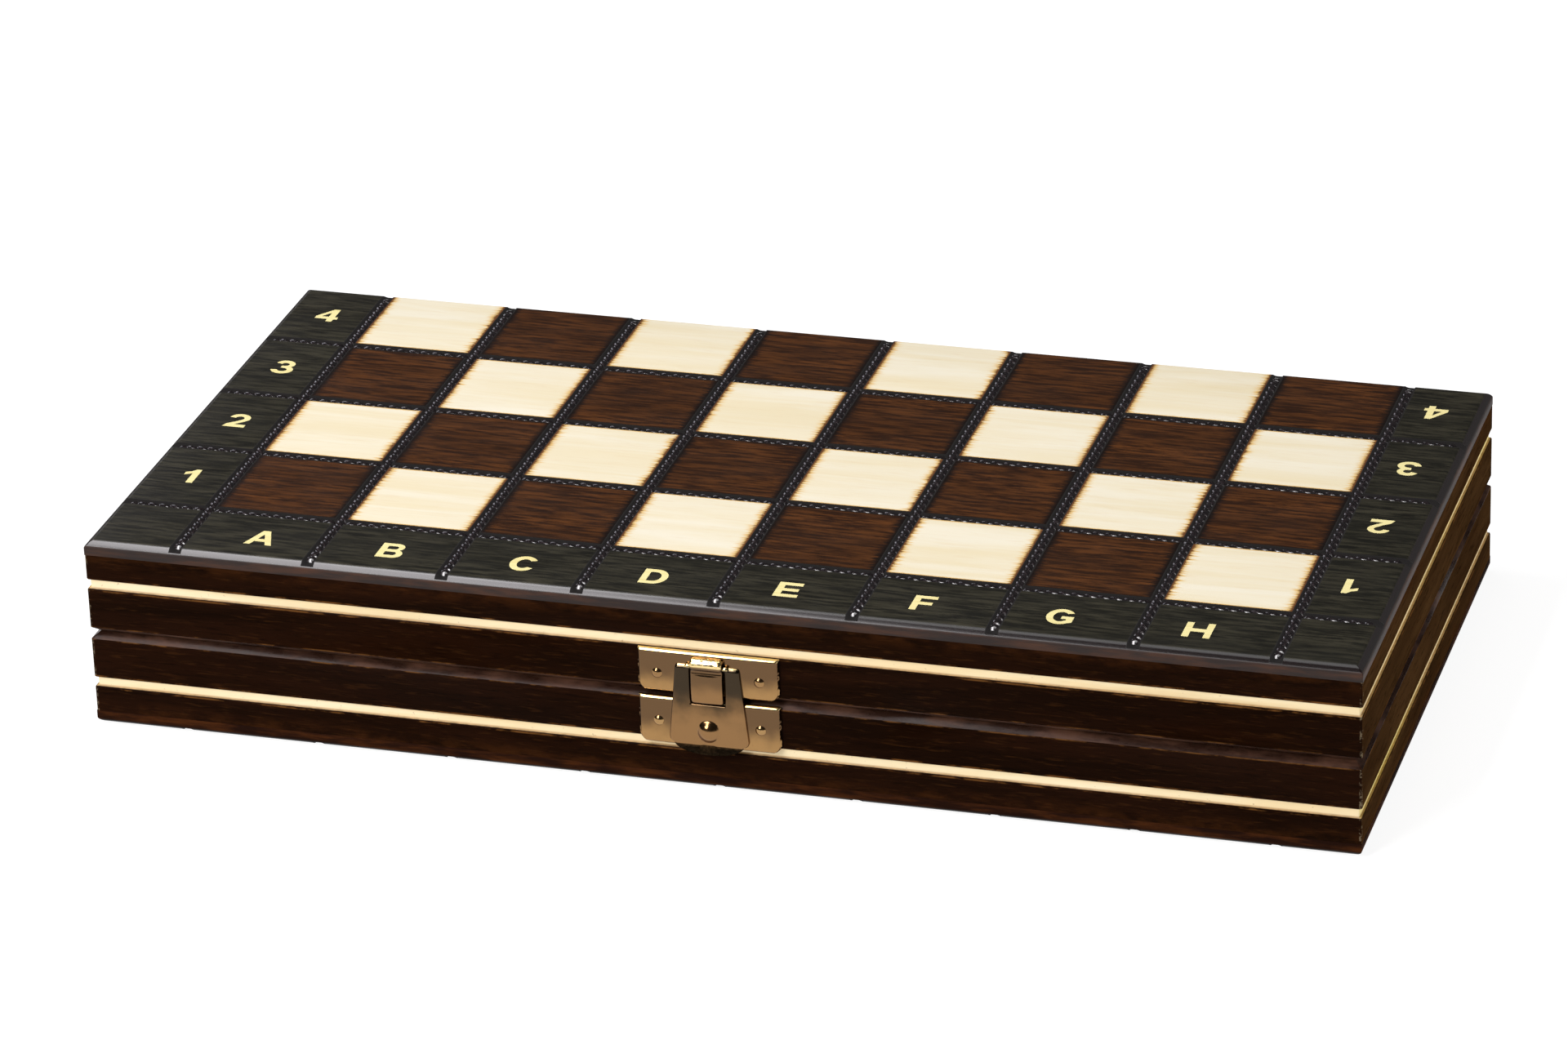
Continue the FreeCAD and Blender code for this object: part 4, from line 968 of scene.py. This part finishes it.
def hasp(material):
    """The swinging hasp: rolled shoulders, a window, a snap dome and a lip to lift it by."""
    lip = [(HASP_OUT + 0.31 * (HASP_FOOT - z), z)
           for z in np.linspace(LIP_END + 0.03 * MM, HASP_FOOT, 11)[:-1]]
    top = PIVOT_HIGH + 0.35 * MM
    bend = 1.25 * MM
    flat = [HASP_FOOT + 1.6 * MM * (1 - math.cos(math.pi / 2 * k / 5)) for k in range(5)]
    flat += list(np.arange(HASP_FOOT + 1.6 * MM, WINDOW_LOW - 0.3 * MM, 0.4 * MM))
    flat += [WINDOW_LOW - 0.2 * MM, WINDOW_LOW]
    flat += list(np.linspace(WINDOW_LOW, top - bend, 18)[1:])
    shoulder = [(HASP_OUT - bend + bend * math.cos(a), top - bend + bend * math.sin(a))
                for a in np.radians(np.linspace(9, 92, 9))]
    path = lip + [(HASP_OUT, z) for z in flat] + shoulder
    top_half, foot_half, lip_half = 8.6 * MM, 10.9 * MM, 9.3 * MM
    split = WINDOW_LOW - 1.6 * MM
    shares = [0, 0.05, 0.13, 0.3, 0.55, 0.8, 0.93, 1.0]

    def half_wide(z):
        wide = foot_half + (top_half - foot_half) * (z - HASP_FOOT) / (top - HASP_FOOT)
        if z < HASP_FOOT:
            fall = (HASP_FOOT - z) / (HASP_FOOT - LIP_END)
            return lip_half * math.sqrt(max(0.0, 1 - fall ** 1.7))
        if z < HASP_FOOT + 1.6 * MM:
            wide -= roll(z - HASP_FOOT, 1.6 * MM)
        return wide

    def spread(wide):
        outer = [WINDOW_HALF + (wide - WINDOW_HALF) * share for share in shares]
        inner = list(np.linspace(-WINDOW_HALF, WINDOW_HALF, 23)[1:-1])
        return [-x for x in reversed(outer)] + inner + outer

    plain = spread(half_wide(split))

    def across(k):
        z = path[k][1]
        if z >= split:
            return spread(half_wide(z))
        return [x / half_wide(split) * half_wide(z) for x in plain]

    def lift(x, k):
        z = path[k][1]
        push = -roll(half_wide(z) - abs(x), 0.55 * MM, 0.8) if z > HASP_FOOT else 0.0
        away = math.hypot(x, z - DOME_HIGH)
        ball, rise = 3.05 * MM, 1.58 * MM
        if away < ball:
            radius = (ball ** 2 + rise ** 2) / (2 * rise)
            push += math.sqrt(radius ** 2 - away ** 2) - (radius - rise)
        elif away < ball + 1.2 * MM:
            push -= 0.05 * MM * math.sin(math.pi * (away - ball) / (1.2 * MM))
        if WINDOW_LOW - 0.5 * MM < z < WINDOW_HIGH and abs(x) < WINDOW_HALF + 0.5 * MM:
            push -= roll(max(abs(x) - WINDOW_HALF, WINDOW_LOW - z, 0.0), 0.5 * MM, 0.6)
        return push

    def hole(x, z):
        return abs(x) < WINDOW_HALF and z > WINDOW_LOW

    piece = stamped("hasp_plate", path, across, lift, 0.55 * MM, material, hole)
    seat(piece, "brassed_steel", "hasp", "latch_hasp")
    hasp_bar(material)


def hasp_bar(material):
    """The round bar across the window's top, which the tongue is rolled over."""
    thick, half = 0.72 * MM, WINDOW_HALF + 1.1 * MM
    profile = [(thick * wide, half * along) for wide, along in (
        (0.8, -1.0), (1.0, -0.96), (1.0, -0.84), (0.93, -0.78), (0.93, 0.0), (0.93, 0.78),
        (1.0, 0.84), (1.0, 0.96), (0.8, 1.0), (0.0, 1.0))]
    points, faces = lathe(profile, 20)
    laid = [(z, FRONT - PIVOT_OUT - x, PIVOT_HIGH + y) for x, y, z in points]
    piece = mesh_object("hasp_bar", laid, faces, material)
    tidy_normals(piece, 50)
    seat(piece, "brassed_steel", "hasp")


def smooth_path(knots, count=6):
    """Points of a Catmull-Rom curve through the knots."""
    ends = [knots[0]] + list(knots) + [knots[-1]]
    path = []
    for k in range(len(knots) - 1):
        a, b, c, d = (np.array(ends[k + step]) for step in range(4))
        for step in range(count):
            t = step / count
            path.append(tuple(0.5 * (2 * b + (c - a) * t + (2 * a - 5 * b + 4 * c - d) * t ** 2
                                     + (3 * b - a - 3 * c + d) * t ** 3)))
    return path + [tuple(knots[-1])]


def tongue(material):
    """The upper plate's tongue: rolled over the hasp's bar, then bulged out through its window."""
    outer = 1.75 * MM
    curl = [(PIVOT_OUT - 0.05 * MM + outer * math.cos(a), PIVOT_HIGH + 0.85 * MM + outer * math.sin(a))
            for a in np.radians((-25, 0, 25, 50, 75, 100, 130))]
    face = [(out * MM, MEETING + z * MM) for out, z in (
        (2.1, -0.85), (2.7, -0.6), (3.0, 0.2), (3.15, 2.5), (3.2, 5.6), (3.1, 7.6), (2.95, 8.25),
        (3.05, 8.75))]
    path = smooth_path(face + curl)
    half = 4.3 * MM
    shape = spaced(-half, half, 14, 4, 0.9 * MM)
    chance = random.Random(5)
    dents = [[chance.uniform(-1, 1) for _ in shape] for _ in path]

    def lift(x, k):
        worn = 0.12 * MM if path[k][1] > PIVOT_HIGH + 0.5 * MM else 0.008 * MM
        return (0.12 * MM * (1 - (x / half) ** 2) * (path[k][1] < PIVOT_HIGH - 2 * MM)
                - roll(half - abs(x), 0.8 * MM, 0.6) - abs(dents[k][shape.index(x)]) * worn)

    piece = stamped("latch_tongue", path, lambda k: shape, lift, 0.42 * MM, material)
    seat(piece, "brassed_steel", "upper_leaf")


def latch():
    """Both stamped plates, the tongue and the hasp."""
    # these tones are painted reflections: each plate is lighter at its foot and darker towards its
    # head, and the hasp is darkest at its head
    light, middle, dark_reflection = srgb(160, 124, 80), srgb(140, 106, 70), srgb(104, 80, 56)
    latch_pan("latch_upper_pan", "latch_upper_plate", 18.85 * MM, MEETING + 1.0 * MM,
              MEETING + 12.9 * MM, MEETING + 6.1 * MM, "upper_leaf",
              brass_paint("brass_upper_pan", MEETING, MEETING + 10 * MM, light, dark_reflection,
                          MEETING + 12.9 * MM))
    latch_pan("latch_lower_pan", "latch_lower_plate", 19.0 * MM, MEETING - 14.1 * MM,
              MEETING - 0.7 * MM, MEETING - 7.7 * MM, "lower_leaf",
              brass_paint("brass_lower_pan", MEETING - 15 * MM, MEETING - 4 * MM, light, dark_reflection,
                          MEETING - 0.7 * MM))
    tongue(brass_paint("brass_tongue", MEETING, MEETING + 7 * MM, middle, dark_reflection,
                       PIVOT_HIGH + 1.2 * MM))
    hasp(brass_paint("brass_hasp", HASP_FOOT, PIVOT_HIGH - 1 * MM, middle, srgb(62, 52, 40),
                     PIVOT_HIGH + 0.6 * MM))


# Men and small fittings ---------------------------------------------------------------------

# side view of the horse's head, nose forward, in parts of the foot's radius and of the height
HORSE = [
    (-0.52, 0.27), (-0.64, 0.38), (-0.68, 0.50), (-0.66, 0.62), (-0.58, 0.74), (-0.46, 0.84),
    (-0.34, 0.91), (-0.22, 0.995), (-0.14, 0.95), (-0.06, 0.915), (0.12, 0.895), (0.30, 0.855),
    (0.48, 0.78), (0.66, 0.715), (0.80, 0.655), (0.83, 0.60), (0.76, 0.555), (0.62, 0.56),
    (0.48, 0.585), (0.34, 0.59), (0.22, 0.575), (0.17, 0.535), (0.24, 0.475), (0.38, 0.41),
    (0.48, 0.34), (0.52, 0.27)]
KNIGHT_FOOT = [
    (1.00, 0.0), (1.00, 0.064), (0.985, 0.09), (0.945, 0.125), (0.86, 0.16), (0.80, 0.17),
    (0.76, 0.172), (0.76, 0.20), (0.745, 0.212), (0.69, 0.22), (0.61, 0.245), (0.59, 0.28),
    (0.57, 0.32), (0.45, 0.335), (0.0, 0.34)]


def lathe(profile, segments=48):
    """Points and faces of a turned solid, its axis along +Z; the profile ends on the axis."""
    points = [(0.0, 0.0, profile[0][1])]
    for radius, height in profile[:-1]:
        for k in range(segments):
            angle = 2 * math.pi * k / segments
            points.append((radius * math.cos(angle), radius * math.sin(angle), height))
    top = len(points)
    points.append((0.0, 0.0, profile[-1][1]))
    faces = []
    for k in range(segments):
        after = (k + 1) % segments
        faces.append((0, 1 + after, 1 + k))
        for ring in range(len(profile) - 2):
            a, b = 1 + ring * segments + k, 1 + ring * segments + after
            faces.append((a, b, b + segments, a + segments))
        last = 1 + (len(profile) - 2) * segments
        faces.append((last + k, last + after, top))
    return points, faces


def from_outline(spot, outline):
    """Distance from a spot to a closed outline, and its nearest point there."""
    starts, ends = outline, np.roll(outline, -1, 0)
    runs = ends - starts
    share = np.clip(((spot - starts) * runs).sum(1) / (runs ** 2).sum(1), 0, 1)
    nearest = starts + runs * share[:, None]
    away = np.hypot(*(spot - nearest).T)
    best = int(away.argmin())
    return away[best], nearest[best]


def inside(spot, outline):
    """Whether a spot lies within a closed outline."""
    x, y = spot
    after = np.roll(outline, -1, 0)
    spans = (outline[:, 1] > y) != (after[:, 1] > y)
    rises = np.where(after[:, 1] == outline[:, 1], 1, after[:, 1] - outline[:, 1])
    crossing = outline[:, 0] + (y - outline[:, 1]) / rises * (after[:, 0] - outline[:, 0])
    return bool((spans & (x < crossing)).sum() % 2)


def horse_depth(x, z, away, radius, high):
    """Half thickness of the carved head, with its mane, cheek, eye, nostril and mouth."""
    a, c = x / radius, z / high
    full = 0.56 - 0.26 * min(max((a - 0.05) / 0.75, 0), 1) + 0.08 * min(max((0.5 - c) / 0.2, 0), 1)
    edge = min(away / (0.30 * radius), 1)
    depth = full * (0.16 + 0.84 * math.sqrt(1 - (1 - edge) ** 2))

    def mound(at_a, at_c, wide, rise):
        gap = math.hypot(a - at_a, (c - at_c) * high / radius) / wide
        return rise * (0.5 + 0.5 * math.cos(math.pi * gap)) if gap < 1 else 0.0

    depth += mound(0.08, 0.70, 0.34, 0.10) + mound(0.60, 0.64, 0.22, 0.05)
    depth += mound(0.16, 0.80, 0.10, 0.07) - mound(0.27, 0.78, 0.07, 0.05)
    depth -= mound(0.70, 0.645, 0.07, 0.08)
    mouth = abs((c - 0.60) - 0.07 * (0.82 - a)) * high / radius
    if a > 0.50 and mouth < 0.045:
        depth -= 0.07 * (1 - mouth / 0.045)
    crest = -0.10 - 0.9 * (0.86 - c) if c > 0.5 else -0.424 + 0.35 * (0.5 - c)
    if 0.30 < c < 0.90 and a < crest:
        depth += 0.05 * math.sin(36 * c + 5 * a) * min((crest - a) / 0.08, 1)
    elif 0.30 < c < 0.90 and a < crest + 0.07:
        depth -= 0.06
    return depth * radius


def horse_head(radius, high):
    """The carved head as one closed solid: both cheeks swell from the same outline."""
    rough = [(a * radius, c * high) for a, c in HORSE]
    outline = np.array(smooth_path(rough + [rough[0]], 5)[:-1])
    step = 0.05 * radius
    low, far = outline.min(0) - step, outline.max(0) + step
    wide, tall = (int((far[axis] - low[axis]) / step) + 2 for axis in (0, 1))
    grid = {}
    kept = [(i, j) for i in range(wide) for j in range(tall)
            if inside(low + step * np.array((i + 0.5, j + 0.5)), outline)]
    for i, j in kept:
        for key in ((i, j), (i + 1, j), (i + 1, j + 1), (i, j + 1)):
            grid.setdefault(key, len(grid))
    uses = {}
    for i, j in kept:
        ring = ((i, j), (i + 1, j), (i + 1, j + 1), (i, j + 1))
        for start, end in zip(ring, ring[1:] + ring[:1]):
            key = frozenset((start, end))
            uses[key] = uses.get(key, 0) + 1
    rim = {key for edge, count in uses.items() if count == 1 for key in edge}
    flat = [None] * len(grid)
    for key, index in grid.items():
        spot = low + step * np.array(key)
        away, nearest = from_outline(spot, outline)
        if key in rim:
            spot, away = nearest, 0.0
        flat[index] = (*spot, horse_depth(*spot, away, radius, high))
    sheet = len(flat)
    points = [(x, -depth, z) for x, z, depth in flat] + [(x, depth, z) for x, z, depth in flat]
    faces = []
    for i, j in kept:
        quad = tuple(grid[key] for key in ((i, j), (i + 1, j), (i + 1, j + 1), (i, j + 1)))
        faces += [quad, tuple(sheet + index for index in reversed(quad))]
    for edge, count in uses.items():
        if count == 1:
            a, b = (grid[key] for key in edge)
            faces.append((a, b, b + sheet, a + sheet))
    return points, faces


def knight(node, leaf, material):
    """A knight lying on its side in its tray: turned foot and carved head."""
    low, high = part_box(node)
    radius, tall = (high.x - low.x) / 2, high.y - low.y
    points, faces = lathe([(r * radius, h * tall) for r, h in KNIGHT_FOOT])
    more, joined = horse_head(radius, tall)
    faces += [tuple(len(points) + index for index in face) for face in joined]
    points += more
    flip = 1 if leaf == "lower" else -1
    centre = (low + high) / 2
    laid = [(centre.x + flip * x, high.y - z, centre.z + flip * y) for x, y, z in points]
    piece = mesh_object(f"{node}_carved", laid, faces, material)
    tidy_normals(piece, 60)
    seat(piece, "pale_men" if leaf == "lower" else "dark_men", f"{leaf}_leaf", node)


def eased(node, width, material, slot, body):
    """A copy of a CAD solid with its arrises eased, in the solid's place."""
    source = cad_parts[node]
    mesh = source.data.copy()
    mesh.transform(source.matrix_world)
    mesh.materials.clear()
    mesh.materials.append(material)
    work = bmesh.new()
    work.from_mesh(mesh)
    bmesh.ops.remove_doubles(work, verts=work.verts, dist=0.002 * MM)
    bmesh.ops.dissolve_limit(work, angle_limit=math.radians(1), verts=work.verts,
                             edges=work.edges)
    edges = [edge for edge in work.edges if len(edge.link_faces) == 2
             and edge.calc_face_angle() > math.radians(35)]
    bmesh.ops.bevel(work, geom=edges, offset=width, segments=2, profile=0.6, affect="EDGES",
                    clamp_overlap=True)
    work.to_mesh(mesh)
    work.free()
    mesh.polygons.foreach_set("use_smooth", [True] * len(mesh.polygons))
    mesh.set_sharp_from_angle(angle=math.radians(42))
    seat(placed(f"{node}_eased", mesh), slot, body, node)


def paint_node(name, material):
    """Give a CAD node its material."""
    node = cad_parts[name]
    node.data.materials.clear()
    node.data.materials.append(material)


# Studio ------------------------------------------------------------------------------------


def camera():
    """A long lens, low and to the right of the latch, leaning a little to the right."""
    azimuth, elevation, roll = math.radians(16.92), math.radians(25.18), math.radians(-1.89)
    target = Vector((-10.7, 19.8, 27.05)) * MM
    distance = 49.84 * PITCH
    back = Vector((math.sin(azimuth) * math.cos(elevation),
                   -math.cos(azimuth) * math.cos(elevation), math.sin(elevation)))
    data = bpy.data.cameras.new("Camera")
    data.lens, data.sensor_width = 155.0, 36.0
    data.clip_start, data.clip_end = 0.05, 50
    eye = placed("Camera", data)
    eye.rotation_mode = "QUATERNION"
    eye.location = target + back * distance
    eye.rotation_quaternion = (back.to_track_quat("Z", "Y")
                               @ Matrix.Rotation(roll, 3, "Z").to_quaternion())
    bpy.context.scene.camera = eye


def lamp(name, place, target, wide, high, power, color=(1, 1, 1)):
    """A soft rectangular light, aimed at a target."""
    data = bpy.data.lights.new(name, "AREA")
    data.shape = "RECTANGLE"
    data.size, data.size_y = wide, high
    data.energy, data.color = power, color
    light = placed(name, data)
    light.location = place
    light.rotation_euler = (Vector(target) - Vector(place)).to_track_quat("-Z", "Y").to_euler()


def studio():
    """A pale floor under soft lights."""
    floor_paint = Paint("pale_floor")
    speck = floor_paint.noise(floor_paint.place(), 300, 3)
    material = floor_paint.finish(
        floor_paint.mix(speck, (0.24, 0.24, 0.24), (0.27, 0.27, 0.27)), 0.9, Specular_IOR_Level=0.1)
    floor_paint.shader.inputs["Emission Color"].default_value = (1, 1, 1, 1)
    floor_paint.shader.inputs["Emission Strength"].default_value = 0.9
    half = 6.0
    floor = mesh_object("studio_floor", [(-half, -half, 0), (half, -half, 0), (half, half, 0),
                                         (-half, half, 0)], [(0, 1, 2, 3)], material)
    floor.location.z = cad_box[0][2] - 0.0002
    lamp("sky", (-0.3, 0.25, 2.4), (0, 0.05, 0), 1.1, 1.1, 9)
    lamp("key", (-0.76, -0.8, 1.75), (-0.76, -0.8, 0), 0.5, 2.2, 38, (0.95, 0.92, 0.94))
    lamp("front", (-1.05, -2.0, 1.4), (0, 0, 0.02), 0.9, 0.9, 33, (1.0, 0.99, 0.97))
    lamp("right", (1.9, 0.5, 0.9), (0, 0, 0.02), 0.8, 0.8, 12, (1.0, 0.99, 0.97))
    lamp("rear", (-1.75, 1.9, 1.15), (-0.1, 0, 0.03), 0.9, 0.6, 2.2, (0.92, 0.9, 1.0))
    world = bpy.data.worlds.new("studio")
    world.use_nodes = True
    world.node_tree.nodes["Background"].inputs["Color"].default_value = (0.95, 0.97, 1.0, 1)
    world.node_tree.nodes["Background"].inputs["Strength"].default_value = 0.04
    bpy.context.scene.world = world
    bpy.context.scene.view_settings.view_transform = "Standard"


# Assembly ----------------------------------------------------------------------------------

camera()
studio()
# the underside leaf's darker rim tone is painted shade on its rounding, which faces down
boards = {"upper": board_paint("board_face", 0.45, srgb(24, 16, 16)),
          "lower": board_paint("board_underside_painted_shade", 0.03, srgb(9, 5, 4))}
rope_coat, print_coat = rope_paint(), label_paint()
# the fittings' brass is a little lighter at the bottom of the case than at the top: painted
# reflection; its highlight height lies above the case
brass = brass_paint("plated_brass", 0.0, MEETING * 2, srgb(166, 132, 88), srgb(146, 112, 74), 1.0)
felt, beech = felt_paint(), comb_paint()
# the left and right walls take the same stain and stripe wood painted lighter and yellower than the
# front and rear: painted light on the side walls
walls = {"front": wall_paint("wall_across", "x", (srgb(32, 14, 5), srgb(19, 7, 2)),
                             srgb(255, 240, 204), 0.012),
         "left": wall_paint("wall_deep_painted_light", "y", (srgb(72, 50, 28), srgb(50, 32, 16)),
                            srgb(255, 236, 150), 0.0)}
walls["rear"], walls["right"] = walls["front"], walls["left"]
men = {"white": turned_paint("pale_men", srgb(226, 186, 128), srgb(204, 158, 98),
                             srgb(160, 112, 62), 0.32),
       "black": turned_paint("dark_men", srgb(58, 34, 22), srgb(38, 22, 15),
                             srgb(18, 11, 9), 0.28)}

rim = rim_paint()
latch()
for leaf in ("upper", "lower"):
    playing_panel(leaf, boards[leaf])
    ropes(leaf, rope_coat)
    coordinates(leaf, print_coat)
    felt_sheet(leaf, felt)
    for side in ("front", "left", "right"):
        rail(leaf, side, (walls[side], rim))
    paint_node(f"{leaf}_rear_rail", walls["rear"])
    eased(f"{leaf}_storage_combs", 0.4 * MM, beech, "comb_wood", f"{leaf}_leaf")
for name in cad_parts:
    if name.endswith("_plate") and "hinge" in name:
        eased(name, 0.18 * MM, brass, "brassed_steel", f"{name.split('_')[2]}_leaf")
    elif name.startswith(("latch_", "left_hinge", "right_hinge")) or name.endswith("screws"):
        paint_node(name, brass)
    elif "_knight_" in name:
        colour = name.split("_")[0]
        knight(name, "lower" if colour == "white" else "upper", men[colour])
    elif name.startswith(("white_", "black_")):
        paint_node(name, men[name.split("_")[0]])
